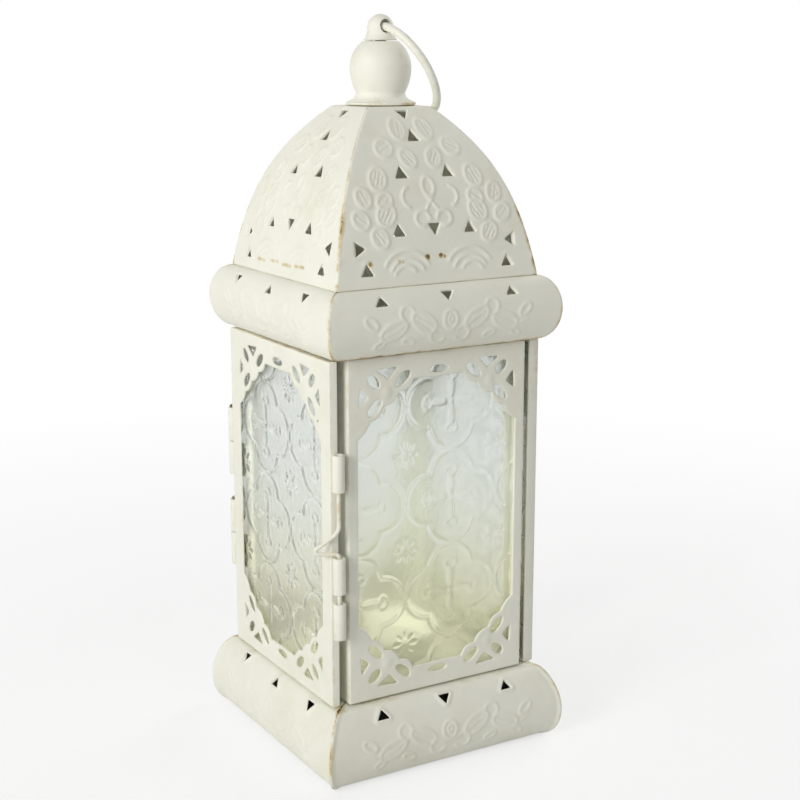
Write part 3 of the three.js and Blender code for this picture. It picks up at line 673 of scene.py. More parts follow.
def dome_profile():
    foot, top = DOME_LOW[2], DOME_HIGH[2]
    half = DOME_HIGH[0]
    rise = top - foot
    curve = bezier((half, foot), (half - DOME_FOOT_LEAN, foot + rise / 2),
                   (DOME_TOP_HALF + DOME_CROWN_REACH, top - rise / 4), (DOME_TOP_HALF, top))
    return Profile(np.vstack([curve, [[DOME_LOW[0], top]]]))


def pierced_triangle(x, z, width, height, point):
    corners = np.array([[-width / 2, -height / 2], [width / 2, -height / 2], [0, height / 2]])
    angle = {"up": 0, "left": math.pi / 2, "down": math.pi, "right": -math.pi / 2}[point]
    c, s = math.cos(angle), math.sin(angle)
    turned_corners = corners @ np.array([[c, s], [-s, c]])
    return rounded(turned_corners, 0.45) + (x, z)


def rim_holes(z, outer_point):
    middle_point = "down" if outer_point == "up" else "up"
    points = [outer_point, middle_point, outer_point]
    return [
        pierced_triangle(step * RIM_HOLE_PITCH, z, RIM_HOLE_WIDTH, RIM_HOLE_HEIGHT, point)
        for step, point in zip((-1, 0, 1), points)
    ]


def dome_holes():
    layout = [
        [0, 2.6, "down"], [0, 9.2, "up"], [9.4, 21.2, "up"], [0, 40.6, "down"],
        [14.4, 40.2, "up"], [30.2, 45.6, "inward"], [28.4, 52.6, "up"],
    ]
    holes = []
    for reach, drop, direction in layout:
        height = DOME_HOLE_HEIGHT * 0.7 if drop < 5 else DOME_HOLE_HEIGHT
        for side in ([1] if reach == 0 else [-1, 1]):
            inward = "left" if side > 0 else "right"
            point = inward if direction == "inward" else direction
            z = DOME_HIGH[2] - drop
            holes.append(pierced_triangle(side * reach, z, DOME_HOLE_WIDTH, height, point))
    return holes


SEAM_FADE = 0.8
MOULDING_SEAM_WEAR = 1.15
DOME_SEAM_RISE = [0, 20, 30, 55]
DOME_SEAM_WEAR = [2.1, 1.7, 0.9, 0.5]


def moulding_seam_wear(z):
    return np.full_like(z, MOULDING_SEAM_WEAR)


def dome_seam_wear(z):
    return np.interp(z - DOME_LOW[2], DOME_SEAM_RISE, DOME_SEAM_WEAR)


def mitred_sheet(profile, holes, relief, extra_wear, seam_wear=moulding_seam_wear):
    """One side of a square shell, in front of the middle. relief gives how far each point of
    (across, way along the profile, height) stands out."""
    cut = MITRE_GAP / math.sqrt(2)
    way = resampled(np.stack([profile.way, profile.half * 0], 1), EDGE_STEP)[:, 0]
    limit = profile.at(way)[0] - cut
    right = np.stack([limit, way], 1)
    left = np.stack([-limit, way], 1)[::-1]
    top = resampled([right[-1], left[0]], EDGE_STEP)[1:-1]
    bottom = resampled([left[-1], right[0]], EDGE_STEP)[1:-1]
    loops = [anticlockwise(np.vstack([right, top, left, bottom]))]
    for hole in holes:
        flat = np.stack([hole[:, 0], profile.way_at(hole[:, 1])], 1)
        loops.append(anticlockwise(resampled(flat, HOLE_STEP, closed=True)))

    def front(flat, distance):
        half, z, out, up = profile.at(flat[:, 1])
        fade = np.clip((distance - 0.5) / 1.2, 0, 1)
        stand = (relief(flat[:, 0], flat[:, 1], z) + RIPPLE_HEIGHT * ripple(flat[:, 0], z)) * fade
        stand -= edge_drop(distance)
        return np.stack([flat[:, 0], -(half + stand * out), z + stand * up], 1)

    def back(flat):
        half, z, out, up = profile.at(flat[:, 1])
        inner = half - SHEET * out
        across = flat[:, 0] * (inner - cut) / (half - cut)
        return np.stack([across, -inner, z - SHEET * up], 1)

    flat, points, faces = closed_sheet(loops, loops, front, back, FINE)
    wear = np.zeros(len(points))
    half, z, _, _ = profile.at(flat[:, 1])
    to_seam = half - cut - np.abs(flat[:, 0])
    seam = seam_wear(z) * np.exp(-to_seam / SEAM_FADE)
    wear[: len(flat)] = np.clip(seam + extra_wear(flat[:, 0], z), 0, 3)
    return points, faces, wear


VINE_END = 41
BASE_VINE_Z = 12.6
EAVE_VINE_Z = (EAVE_LOW[2] + EAVE_HIGH[2]) / 2 - 1.5


def vine_band(profile, middle_z, reach, squeeze=1, sink=0):
    """Vines along a moulding's middle, as far as reach up and down, on a face sunk by sink."""
    middle = profile.way_at(middle_z)

    def relief(x, way, z):
        band = np.clip((reach - np.abs(way - middle)) / 2.5, 0, 1)
        band = band * np.clip((VINE_END - np.abs(x)) / 3, 0, 1)
        return VINE_HEIGHT * vine_relief(x * squeeze, way - middle) * band - sink

    return relief


def dome_stand(x, way, z):
    rise = z - DOME_LOW[2]
    crease = ridge(rise - CREASE_RISE, CREASE_WIDTH)
    return DOME_PATTERN_HEIGHT * dome_relief(x, rise) - CREASE_DEPTH * crease


# Rubbed stretches low on the front panel: from and to across it, and their height above its foot.

FRONT_RUBS = [[-20, -12.5, 4.4], [-9.5, -3.5, 4.9], [-0.5, 6.5, 4.6], [9.5, 17, 5]]

# Chips low on the right panel: place across, height above its foot, radius.

RIGHT_CHIPS = [
    [-26.8, 8.2, 1.0], [-15.7, 8.4, 0.8], [-14.2, 8.1, 0.5],
    [-4.3, 9.1, 0.9], [1.2, 9.3, 0.7], [2.6, 9, 0.5],
]


def dome_wear(x, z):
    return 0.3 * ridge(z - DOME_LOW[2], 0.8)


def front_dome_wear(x, z):
    rise = z - DOME_LOW[2]
    rubbed = np.zeros_like(x)
    for start, end, height in FRONT_RUBS:
        stretch = np.clip((np.minimum(x - start, end - x) + 0.6) / 0.8, 0, 1)
        rubbed = np.maximum(rubbed, stretch * ridge(rise - height, 0.7))
    return dome_wear(x, z) + 0.95 * rubbed


def spots(x, z, places):
    """Worn spots, each given by its place across, its height and its radius."""
    worn = np.zeros_like(x)
    for across, height, radius in places:
        away = np.hypot(x - across, z - height)
        worn = np.maximum(worn, np.clip(1.6 - away / radius, 0, 1))
    return worn


def right_dome_wear(x, z):
    return dome_wear(x, z) + 2.6 * spots(x, z - DOME_LOW[2], RIGHT_CHIPS)


def eave_wear(x, z):
    return 1.5 * ridge(z - EAVE_LOW[2], 0.9) + 0.2 * ridge(z - EAVE_HIGH[2], 0.6)


def base_wear(x, z):
    below_holes = BASE_HIGH[2] - BASE_HOLE_DROP - 1
    holes = [(step * RIM_HOLE_PITCH, below_holes, 3.2) for step in (-1, 0, 1)]
    return 0.3 * ridge(z, 1.2) + 0.3 * ridge(z - BASE_HIGH[2], 0.5) + 0.3 * spots(x, z, holes)


def four_sides(group, variants):
    for turn, side in enumerate(SIDES):
        points, faces, wear = variants[turn]
        node = f"{group}_{side}"
        add_piece(f"{node}_sheet", turned(points, turn), faces, "lantern_body", "paint", node, wear)


def mouldings():
    base, eave, dome = base_profile(), eave_profile(), dome_profile()
    base_vine = vine_band(base, BASE_VINE_Z, 11, 0.94, BASE_SINK)
    eave_vine = vine_band(eave, EAVE_VINE_Z, 10)
    layout = [
        ["base_moulding", base, BASE_HIGH[2] - BASE_HOLE_DROP, base_vine, base_wear],
        ["eave_moulding", eave, EAVE_HIGH[2] - EAVE_HOLE_DROP, eave_vine, eave_wear],
    ]
    for group, profile, hole_z, vine, wear in layout:
        kinds = [mitred_sheet(profile, rim_holes(hole_z, way), vine, wear) for way in ("down", "up")]
        four_sides(group, kinds * 2)
    front, right, other = [
        mitred_sheet(dome, dome_holes(), dome_stand, panel_wear, dome_seam_wear)
        for panel_wear in (front_dome_wear, right_dome_wear, dome_wear)
    ]
    four_sides("dome_panel", [front, right, other, other])


# Openwork frames. The places of the pattern are measured inwards from a corner.

STILE = 3.9
CUSPS = [[STILE, 28.4], [8.9, 22.6], [14.2, 17.6], [20.4, 13.1], [26.2, 8.9]]
SCALLOP_RISE = 1.3
CROWN_DIP = 0.3
WEDGES = [[[11.2, 4.6], [19.8, 4.1], [16.2, 8.3]], [[4.9, 10.1], [4.4, 16.9], [8.2, 13.9]]]
PETALS = [[21.9, 8.5, 40], [10.6, 17.8, 46]]
PETAL_LENGTH = 7.4
PETAL_WIDTH = 3.3
CORNER_OVAL_CENTRE = [10.2, 8.6]
CORNER_OVAL_LENGTH = 6
CORNER_OVAL_WIDTH = 3.4
RAIL_SLOT_LENGTH = 7.8
RAIL_SLOT_WIDTH = 2.7
RAIL_SLOT_FROM_TOP = 6.5
BOSS_CENTRE = [15.4, 12.8]
BOSS_RADIUS = 2.2
BOSS_HEIGHT = 0.3


def scallop(start, end, rise, steps=8):
    chord = end - start
    aside = np.array([-chord[1], chord[0]]) / np.hypot(*chord)
    t = np.linspace(0, 1, steps + 1)[1:, None]
    return start + chord * t + aside * 4 * rise * t * (1 - t)


def window_outline(corner):
    stops = [corner - cusp for cusp in CUSPS]
    half = [stops[:1], scallop(stops[0], stops[1], SCALLOP_RISE / 2)]
    half += [scallop(a, b, SCALLOP_RISE) for a, b in zip(stops[1:], stops[2:])]
    half = np.vstack(half)
    crown = scallop(half[-1], half[-1] * (-1, 1), CROWN_DIP)[:-1]
    top = np.vstack([half, crown, (half * (-1, 1))[::-1]])
    return np.vstack([top, top * -1])


def corner_cutouts(corner):
    diagonal = corner - CORNER_OVAL_CENTRE
    cutouts = [oval(diagonal, CORNER_OVAL_LENGTH, CORNER_OVAL_WIDTH, math.pi / 4)]
    for across, down, degrees in PETALS:
        petal = corner - (across, down)
        cutouts.append(oval(petal, PETAL_LENGTH, PETAL_WIDTH, -math.radians(degrees)))
    return cutouts + [rounded(corner - wedge, 1) for wedge in WEDGES]


QUARTERS = [[1, -1], [1, 1], [-1, 1], [-1, -1]]


def frame_holes(corner):
    holes = [window_outline(corner)]
    for quarter in QUARTERS:
        holes += [cutout * quarter for cutout in corner_cutouts(corner)]
    slot_height = corner[1] - RAIL_SLOT_FROM_TOP
    holes += [oval((0, y), RAIL_SLOT_LENGTH, RAIL_SLOT_WIDTH, 0) for y in (slot_height, -slot_height)]
    return holes


def frame_mesh(half, height, depth):
    """A frame seen from outside: X across, Z up, its face at Y = 0 and its rim turned back."""
    half_height = height / 2
    corner = np.array([PATTERN_HALF, half_height])
    corners = np.array(QUARTERS) * (half, half_height)
    outline = anticlockwise(resampled(corners, EDGE_STEP, closed=True))
    holes = [anticlockwise(resampled(hole, CUTOUT_STEP, closed=True)) for hole in frame_holes(corner)]
    loops = [outline, *holes]
    inner = outline * ((half - SHEET) / half, (half_height - SHEET) / half_height)

    def boss(x, y):
        dx = np.abs(x) - (corner[0] - BOSS_CENTRE[0])
        dy = np.abs(y) - (corner[1] - BOSS_CENTRE[1])
        return BOSS_HEIGHT * np.clip(1 - (dx**2 + dy**2) / BOSS_RADIUS**2, 0, 1)

    def front(flat, distance):
        x, y = flat.T
        fade = np.clip((distance - 0.3) / 0.8, 0, 1)
        stand = (boss(x, y) + FRAME_RIPPLE_HEIGHT * ripple(x * 1.6, y * 1.4)) * fade
        return np.stack([x, FRAME_SINK - stand + edge_drop(distance), y], 1)

    def row(loop, y):
        return np.stack([loop[:, 0], np.full(len(loop), y), loop[:, 1]], 1)

    def back(flat):
        return row(flat, SHEET)

    rim = [row(outline, depth - 0.2), row(outline * 0.3 + inner * 0.7, depth),
           row(inner, depth - 0.15), row(inner, SHEET + 0.1)]
    flat, points, faces = closed_sheet(loops, [inner, *holes], front, back, FINE, rim)
    wear = np.zeros(len(points))
    wear[: len(flat)] = 0.4 * np.exp(-edge_distance(flat, loops) / 0.6)
    return points, faces, wear


PANE_START = 1.2
PANE_THICKNESS = 2
PANE_RELIEF = 0.6
QUATREFOIL_PITCH = (38, 35)
QUATREFOIL_LOBE = 9
QUATREFOIL_REACH = (9.4, 8)


def spoke(radius, degrees):
    angle = math.radians(degrees)
    return radius * math.cos(angle), radius * math.sin(angle)


def pane_height(x, y):
    """Raised lines of the pressed glass, from 0 to 1: rows of quatrefoils, each with a flower
    of four petals, and small daisies between them."""
    px, py = QUATREFOIL_PITCH
    u = (x + px / 2) % px - px / 2
    v = (y + py / 2) % py - py / 2
    ax, ay = np.abs(u), np.abs(v)
    side = np.hypot(ax - QUATREFOIL_REACH[0], ay) - QUATREFOIL_LOBE
    top = np.hypot(ax, ay - QUATREFOIL_REACH[1]) - QUATREFOIL_LOBE
    height = ridge(np.minimum(side, top), 0.6)
    for degrees in (0, 90, 180, 270):
        petal, _ = oval_field(u, v, spoke(5.2, degrees), 7.4, 3, degrees)
        height = np.maximum(height, 0.8 * np.clip(0.2 - petal / 0.9, 0, 1))
        curl = ring_ridge(u, v, spoke(9.8, degrees), 4.4, 3, degrees + 90, 0.5)
        height = np.maximum(height, 0.6 * curl)
    height = np.maximum(height, np.clip(1.2 - np.hypot(u, v) / 1.1, 0, 1))
    du = x % px - px / 2
    dv = y % py - py / 2
    for degrees in range(0, 360, 45):
        petal, _ = oval_field(du, dv, spoke(3.2, degrees), 3.4, 1.5, degrees)
        height = np.maximum(height, 0.9 * np.clip(0.3 - petal / 0.6, 0, 1))
    return np.clip(height, 0, 1)


def stipple(x, y):
    """The fine hammered ground of the glass."""
    return 0.5 * np.sin(x * 2.9 + 1.7 * np.sin(y * 1.3)) * np.sin(y * 3.1 + 1.9 * np.sin(x * 1.1))


def pane_mesh(half, half_height, shift):
    across, up = (np.linspace(-reach, reach, int(2 * reach / (FINE * 0.9)) + 1)
                  for reach in (half, half_height))
    x, z = (grid.ravel() for grid in np.meshgrid(across, up))
    columns, rows = len(across), len(up)
    height = pane_height(x + shift[0], z + shift[1])
    height = np.clip(height + 0.16 * stipple(x, z) * (1 - height) + 0.08, 0, 1)
    front = np.stack([x, PANE_START + PANE_RELIEF * (1 - height), z], 1)
    index = np.arange(columns * rows).reshape(rows, columns)
    quads = np.stack([index[:-1, :-1], index[:-1, 1:], index[1:, 1:], index[1:, :-1]], -1)
    edge = np.concatenate([index[0, :-1], index[:-1, -1], index[-1, :0:-1], index[:0:-1, 0]])
    back_edge = front[edge] * (1, 0, 1) + (0, PANE_START + PANE_THICKNESS, 0)
    start = len(front)
    count = len(edge)
    faces = [tuple(quad) for quad in quads.reshape(-1, 4)]
    faces += [
        (edge[i], edge[(i + 1) % count], start + (i + 1) % count, start + i) for i in range(count)
    ]
    faces.append(tuple(range(start, start + count)))
    return np.vstack([front, back_edge]), faces


def glazed_frame(node, turn, body, pattern_shift):
    """The dressed frame and pane of one side."""
    low, high = box_mm(node)
    spans = high - low
    across, out = (0, 1) if turn % 2 == 0 else (1, 0)
    face = max(abs(low[out]), abs(high[out]))
    middle = np.array([0, -face, (low[2] + high[2]) / 2])
    points, faces, wear = frame_mesh(spans[across] / 2, spans[2], spans[out])
    points = turned(points + middle, turn)
    add_piece(f"{node}_openwork", points, faces, body, "paint", node, wear)
    pane_low, pane_high = box_mm(f"{node}_glass")
    pane_halves = (pane_high - pane_low) / 2
    points, faces = pane_mesh(pane_halves[across], pane_halves[2], pattern_shift)
    points = turned(points + middle, turn)
    add_piece(f"{node}_pane", points, faces, body, "pressed_glass", f"{node}_glass")


def frames():
    glazed_frame("door_frame", 0, "door", (13, 6))
    glazed_frame("right_frame", 1, "lantern_body", (-6, -8.2))
    glazed_frame("back_frame", 2, "lantern_body", (4, 15))
    glazed_frame("left_frame", 3, "lantern_body", (-14, -3))


# Plain fittings, made from their solids with softened edges

def softened(node, width, body="lantern_body", slot="paint"):
    """The finished piece of a plain solid, whose edges are rounded this wide."""
    shape = bmesh.new()
    shape.from_mesh(frame["nodes"][node].data)
    bmesh.ops.remove_doubles(shape, verts=shape.verts, dist=1e-6)
    flat = math.radians(1)
    bmesh.ops.dissolve_limit(shape, angle_limit=flat, verts=shape.verts, edges=shape.edges)
    fold = math.radians(38)
    sharp = [e for e in shape.edges if len(e.link_faces) == 2 and e.calc_face_angle() > fold]
    bmesh.ops.bevel(
        shape, geom=sharp, offset=width * MM, segments=2, profile=0.5,
        affect="EDGES", clamp_overlap=True,
    )
    bmesh.ops.recalc_face_normals(shape, faces=shape.faces)
    mesh = bpy.data.meshes.new(f"{node}_finish")
    shape.to_mesh(mesh)
    shape.free()
    set_wear(mesh, FITTING_WEAR)
    mesh.materials.append(MATERIALS[slot])
    shade(mesh, 40)
    place(f"{node}_finish", mesh, body, slot, node)


def fittings():
    for end in ("front", "back"):
        for side in ("left", "right"):
            softened(f"corner_post_{end}_{side}", 0.25)
    softened("floor_plate", 0.25)
    softened("candle_cup", 0.2)
    for side in ("door", "right", "back", "left"):
        for end in ("top", "bottom"):
            body = "door" if side == "door" else "lantern_body"
            softened(f"{side}_frame_clip_{end}", 0.12, body)
    for level in ("upper", "lower"):
        softened(f"door_knuckle_{level}", 0.22, "door")
        softened(f"post_knuckle_{level}", 0.18)
        softened(f"hinge_pin_{level}", 0.1, slot="bare_steel")
        softened(f"latch_tube_{level}", 0.22, "door")
    softened("latch_keeper", 0.18)
    softened("finial_washer", 0.15, slot="bare_steel")
    softened("finial_nut", 0.25, slot="bare_steel")


# Round wires

def circle(centre, radius, u, v, count):
    """Points around a circle in the plane of the unit vectors u and v."""
    turn = np.linspace(0, 2 * math.pi, count, endpoint=False)[:, None]
    return centre + radius * (np.cos(turn) * u + np.sin(turn) * v)


def wire(path, radius, sides, closed=False):
    """Vertices and faces of a round wire along a path, with rounded ends where it is open."""
    path = np.asarray(path, float)
    count = len(path)
    if closed:
        along = np.roll(path, -1, axis=0) - np.roll(path, 1, axis=0)
    else:
        along = np.gradient(path, axis=0)
    along /= np.linalg.norm(along, axis=1)[:, None]
    plane = np.linalg.svd(path - path.mean(0))[2][2]
    second = np.cross(along, plane)
    rings = [circle(path[i], radius, plane, second[i], sides) for i in range(count)]
    if not closed:
        for angle in (math.radians(35), math.radians(65), math.radians(85)):
            push, size = radius * math.sin(angle), radius * math.cos(angle)
            rings.insert(0, circle(path[0] - along[0] * push, size, plane, second[0], sides))
            rings.append(circle(path[-1] + along[-1] * push, size, plane, second[-1], sides))
    total = len(rings)
    faces = []
    for i in range(total if closed else total - 1):
        for k in range(sides):
            a, b = i * sides + k, i * sides + (k + 1) % sides
            c, d = ((i + 1) % total) * sides + (k + 1) % sides, ((i + 1) % total) * sides + k
            faces.append((a, b, c, d))
    if not closed:
        faces.append(tuple(range(sides)))
        faces.append(tuple((total - 1) * sides + k for k in range(sides)))
    return np.vstack(rings), faces


RING_INSET = 0.04


def hanging_ring():
    """The ring's middle, radius and plane come from its solid."""
    solid = np.array([v.co for v in frame["nodes"]["hanging_ring"].data.vertices]) / MM
    centre = solid.mean(0)
    u, v = np.linalg.svd(solid - centre)[2][:2]
    reach = np.hypot((solid - centre) @ u, (solid - centre) @ v)
    radius = (reach.max() + reach.min()) / 2
    wire_radius = (reach.max() - reach.min()) / 2
    path = circle(centre, radius, u, v, 120)
    points, faces = wire(path, wire_radius - RING_INSET, 24, closed=True)
    add_piece("hanging_ring_wire", points, faces, "ring", "paint", "hanging_ring", RING_WEAR)


TUBE_RADIUS = 2.2
BOLT_RADIUS = 0.75
BOLT_INSET = 0.02
BOLT_ENTRY = 7.6
BOLT_HOLD = 8.2
FINGER_LENGTH = 8.2
FINGER_HEIGHT = 9.4
FINGER_TURN = math.radians(30)
CLEAR = 0.3


def latch_bolt():
    """A straight wire with a finger loop between the door's two tubes."""
    _, lower_top = box_mm("latch_tube_lower")
    _, keeper_top = box_mm("latch_keeper")
    axis = np.array([TUBE_HIGH[0] - TUBE_RADIUS, TUBE_RADIUS - DOOR_FACE])
    seat = lower_top[2] + CLEAR
    limb = seat + BOLT_RADIUS + CLEAR
    turn_in = 2 * BOLT_RADIUS
    bend = FINGER_HEIGHT / 6
    knee = FINGER_LENGTH - 3 * BOLT_RADIUS
    tip = FINGER_LENGTH + BOLT_RADIUS
    high = seat + FINGER_HEIGHT
    line = np.vstack([
        [[0, TUBE_LOW[2] + BOLT_ENTRY]],
        bezier((0, high + bend), (0, high + bend / 3),
               (turn_in / 3, high - bend / 3), (turn_in, high - bend), 10),
        bezier((knee, limb + 2 * bend), (tip, limb + bend), (tip, limb), (knee, limb), 16),
        bezier((turn_in, limb), (turn_in / 3, limb), (0, limb - CLEAR), (0, seat - CLEAR), 8),
        [[0, keeper_top[2] - BOLT_HOLD]],
    ])
    line = resampled(line, 0.4)
    line[1:-1] = (line[:-2] + 2 * line[1:-1] + line[2:]) / 4
    out = line[:, 0]
    path = np.stack([
        axis[0] - math.sin(FINGER_TURN) * out,
        axis[1] - math.cos(FINGER_TURN) * out,
        line[:, 1],
    ], 1)
    points, faces = wire(path, BOLT_RADIUS - BOLT_INSET, 16)
    add_piece("latch_bolt_wire", points, faces, "latch_bolt", "paint", "latch_bolt", BOLT_WEAR)


# Finial and its eye

def lathe(profile, segments=96):
    """A closed line of (radius, height) turned about Z. Points on the axis become poles."""
    points, rings = [], []
    for radius, z in profile:
        if radius < 1e-6:
            rings.append([len(points)])
            points.append((0, 0, z))
        else:
            rings.append(list(range(len(points), len(points) + segments)))
            for k in range(segments):
                angle = 2 * math.pi * k / segments
                points.append((radius * math.cos(angle), radius * math.sin(angle), z))
    pairs = list(zip(rings, rings[1:]))
    if len(rings[0]) > 1 and len(rings[-1]) > 1:
        pairs.append((rings[-1], rings[0]))
    faces = []
    for first, second in pairs:
        for k in range(segments):
            j = (k + 1) % segments
            corners = [first[k % len(first)], first[j % len(first)],
                       second[j % len(second)], second[k % len(second)]]
            unique = list(dict.fromkeys(corners))
            if len(unique) > 2:
                faces.append(tuple(unique))
    return np.array(points), faces


BALL_RADIUS = 11
BALL_DEPTH = 14.5
SKIRT_RIM = 0.8
NECK_WAIST = 2.2
NECK_RISE = 4.4
SHANK_RADIUS = 2


def finial_ball():
    skirt = BALL_HIGH[0]
    foot, flat = BALL_LOW[2], BALL_HIGH[2]
    neck = BALL_RADIUS - NECK_WAIST
    centre = foot + NECK_RISE + BALL_DEPTH * math.sqrt(1 - (neck / BALL_RADIUS) ** 2)
    bore = SHANK_RADIUS + CLEAR
    flare = bezier(
        (skirt, foot + SKIRT_RIM), (neck + 1.5, foot + SKIRT_RIM + 0.9),
        (neck, foot + SKIRT_RIM + 1.6), (neck, foot + NECK_RISE), 14,
    )
    start = -math.acos(neck / BALL_RADIUS)
    end = math.asin((flat - centre) / BALL_RADIUS)
    globe = np.vstack([
        ellipse_arc((0, centre), (BALL_RADIUS, BALL_DEPTH), start, 0, 14),
        ellipse_arc((0, centre), (BALL_RADIUS, BALL_RADIUS), 0, end, 26)[1:],
    ])
    rim = globe[-1][0]
    profile = [
        (bore, foot), (skirt - 0.25, foot), (skirt, foot + 0.2), *map(tuple, flare),
        *map(tuple, globe[1:-1]), (rim - 0.1, flat - 0.06), (rim - 0.5, flat), (bore, flat),
    ]
    points, faces = lathe(profile)
    wear = 0.55 * ridge(points[:, 2] - foot, 1) + 0.25
    add_piece("finial_ball_turning", points, faces, "lantern_body", "paint", "finial_ball", wear)


EYE_RADIUS = 4.75
EYE_WAIST = 0.4
EYE_HOLE_RISE = 0.6
EYE_HOLE_RADIUS = 2.42
EYE_HOLE_EDGE = 0.45


def eye_blank(low, high):
    """The turned eye bolt before its eye is drilled."""
    seat = BALL_HIGH[2] + CLEAR
    collar = high[0]
    centre = high[2] - EYE_RADIUS
    neck = EYE_RADIUS - EYE_WAIST
    globe = ellipse_arc((0, centre), (EYE_RADIUS, EYE_RADIUS), -math.acos(neck / EYE_RADIUS),
                        math.pi / 2, 30)
    cone = bezier((collar, seat + 0.2), (collar - 0.7, seat + 0.9), (neck + 0.4, seat + 1.7), globe[0], 10)
    profile = [
        (0, low[2]), (SHANK_RADIUS - 0.3, low[2]), (SHANK_RADIUS, low[2] + 0.3),
        (SHANK_RADIUS, seat), (collar - 0.2, seat), *map(tuple, cone), *map(tuple, globe[1:-1]),
        (0, high[2]),
    ]
    points, faces = lathe(profile, 72)
    return smooth_mesh("eye_bolt_turning", points, faces, "paint")


def eye_drill(height):
    """A bar along X, as thick as the eye's hole."""
    mesh = bpy.data.meshes.new("eye_drill")
    drill = bmesh.new()
    bmesh.ops.create_cone(
        drill, cap_ends=True, segments=48, radius1=EYE_HOLE_RADIUS * MM, radius2=EYE_HOLE_RADIUS * MM,
        depth=4 * EYE_RADIUS * MM,
        matrix=Matrix.Translation((0, 0, height * MM)) @ Matrix.Rotation(math.pi / 2, 4, "Y"),
    )
    drill.to_mesh(mesh)
    drill.free()
    return mesh


def eye_bolt():
    low, high = box_mm("eye_bolt")
    piece = add_object("eye_bolt_blank", eye_blank(low, high))
    tool = add_object("eye_drill", eye_drill(high[2] - EYE_RADIUS + EYE_HOLE_RISE))
    cut = piece.modifiers.new("hole", "BOOLEAN")
    cut.operation = "DIFFERENCE"
    cut.solver = "EXACT"
    cut.object = tool
    soften = piece.modifiers.new("soft_edge", "BEVEL")
    soften.width = EYE_HOLE_EDGE * MM
    soften.segments = 3
    soften.limit_method = "ANGLE"
    soften.angle_limit = math.radians(32)
    depsgraph = bpy.context.evaluated_depsgraph_get()
    drilled = bpy.data.meshes.new_from_object(piece.evaluated_get(depsgraph))
    for obj in (piece, tool):
        bpy.data.objects.remove(obj)
    set_wear(drilled, RING_WEAR)
    shade(drilled, 50)
    place("eye_bolt_turning", drilled, "lantern_body", "paint", "eye_bolt")


# Floor, light and camera

def white_to_the_eye(tree):
    """1 for rays that see the surroundings directly, in a reflection or through glass."""
    light_path = add_node(tree, "ShaderNodeLightPath")
    seen = math_node(
        tree, "MAXIMUM", light_path.outputs["Is Camera Ray"], light_path.outputs["Is Glossy Ray"]
    )
    return math_node(tree, "MAXIMUM", seen, light_path.outputs["Is Transmission Ray"])


# Metres from the middle: where the floor's even light starts, and where its shadow fades out.

GLOW_START = (0.039, 0.044)
SHADOW_FADE = (0.16, 0.55)
FLOOR_SIZE = 4
FLOOR_DROP = 0.0002


def floor_material():
    """Pale floor. To the eye most of its light is even, so that it meets the background."""
    material = bpy.data.materials.new("floor")
    material.use_nodes = True
    tree = material.node_tree
    tree.nodes.clear()
    matt = add_node(tree, "ShaderNodeBsdfDiffuse", {"Color": (0.8, 0.8, 0.79, 1)})
    half_matt = add_node(tree, "ShaderNodeBsdfDiffuse", {"Color": (0.34, 0.34, 0.34, 1)})
    beside = add_node(tree, "ShaderNodeSeparateXYZ", {0: object_place(tree)})
    across, along = (math_node(tree, "ABSOLUTE", beside.outputs[k]) for k in (0, 1))
    reach = math_node(tree, "MAXIMUM", across, along)
    strength = stretched(tree, reach, *GLOW_START, 0, 0.66)
    glow = add_node(tree, "ShaderNodeEmission", {"Strength": strength})
    near = add_node(tree, "ShaderNodeAddShader", {0: half_matt.outputs[0], 1: glow.outputs[0]})
    white = add_node(tree, "ShaderNodeEmission", {"Strength": 1.0})
    distance = add_node(tree, "ShaderNodeVectorMath", {0: object_place(tree)}, operation="LENGTH")
    away = stretched(tree, distance.outputs["Value"], *SHADOW_FADE)
    seen = mixed_shaders(tree, away, near, white)
    result = mixed_shaders(tree, white_to_the_eye(tree), matt, seen)
    add_node(tree, "ShaderNodeOutputMaterial", {"Surface": result.outputs[0]})
    return material


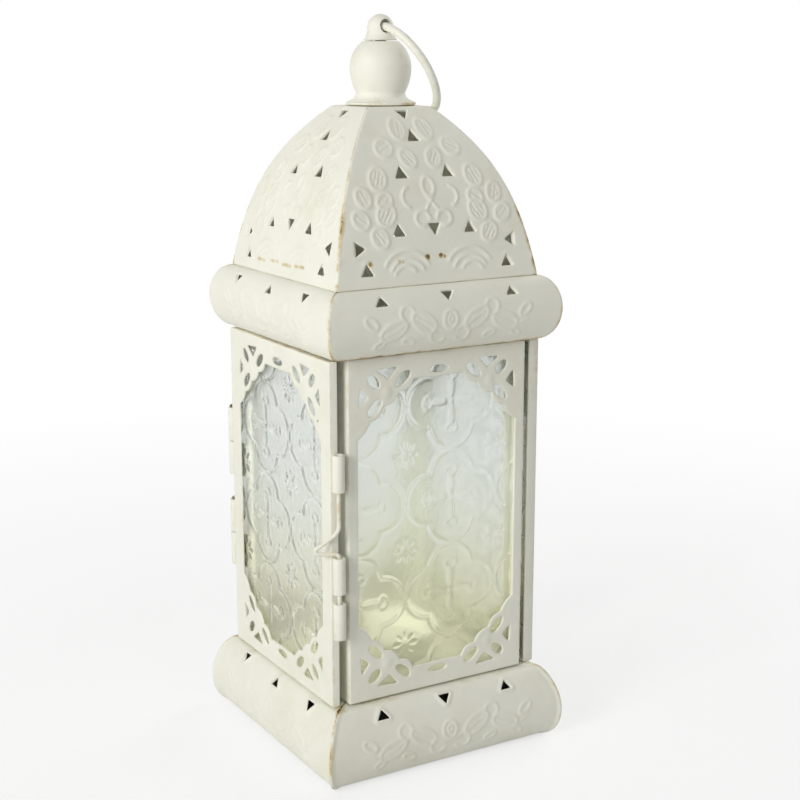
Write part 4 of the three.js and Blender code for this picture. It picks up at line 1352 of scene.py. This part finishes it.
def floor():
    mesh = bpy.data.meshes.new("floor")
    corners = [(x * FLOOR_SIZE, y * FLOOR_SIZE, 0) for x, y in ((-1, -1), (1, -1), (1, 1), (-1, 1))]
    mesh.from_pydata(corners, [], [(0, 1, 2, 3)])
    mesh.materials.append(floor_material())
    plane = add_object("floor", mesh)
    plane.location.z = -FLOOR_DROP


def world():
    background = bpy.data.worlds.new("studio")
    bpy.context.scene.world = background
    background.use_nodes = True
    tree = background.node_tree
    tree.nodes.clear()
    soft = add_node(tree, "ShaderNodeBackground", {"Color": (0.99, 0.99, 1, 1), "Strength": 0.42})
    white = add_node(tree, "ShaderNodeBackground", {"Color": (1, 1, 1, 1), "Strength": 1.0})
    result = mixed_shaders(tree, white_to_the_eye(tree), soft, white)
    add_node(tree, "ShaderNodeOutputWorld", {"Surface": result.outputs[0]})


LAMP_COLOUR = (1, 0.995, 0.98)
LAMP_AIM = Vector((0, 0, 0.13))


def area_light(name, position, size, power):
    data = bpy.data.lights.new(name, "AREA")
    data.size = size
    data.energy = power
    data.color = LAMP_COLOUR
    lamp = add_object(name, data)
    lamp.location = position
    aim = LAMP_AIM - Vector(position)
    lamp.rotation_euler = aim.to_track_quat("-Z", "Y").to_euler()


def lights():
    area_light("key", (0.42, -1.2, 0.6), 0.6, 10.2)
    area_light("back_fill", (-0.35, 1.2, 0.75), 0.7, 5.5)


CAMERA_PLACE = (483.4, -280.1, 254.4)
CAMERA_HEADING = math.radians(59.2)
CAMERA_PITCH = math.radians(12.85)
CAMERA_LENS = 69.04


def camera():
    data = bpy.data.cameras.new("camera")
    data.lens = CAMERA_LENS
    data.sensor_width = 36
    data.clip_start = 0.01
    view = add_object("camera", data)
    place_at = Matrix.Translation(Vector(CAMERA_PLACE) * MM)
    heading = Matrix.Rotation(CAMERA_HEADING, 4, "Z")
    view.matrix_world = place_at @ heading @ Matrix.Rotation(math.pi / 2 - CAMERA_PITCH, 4, "X")
    bpy.context.scene.camera = view


camera()
mouldings()
frames()
fittings()
hanging_ring()
latch_bolt()
finial_ball()
eye_bolt()
floor()
world()
lights()
bpy.context.scene.view_settings.view_transform = "Standard"
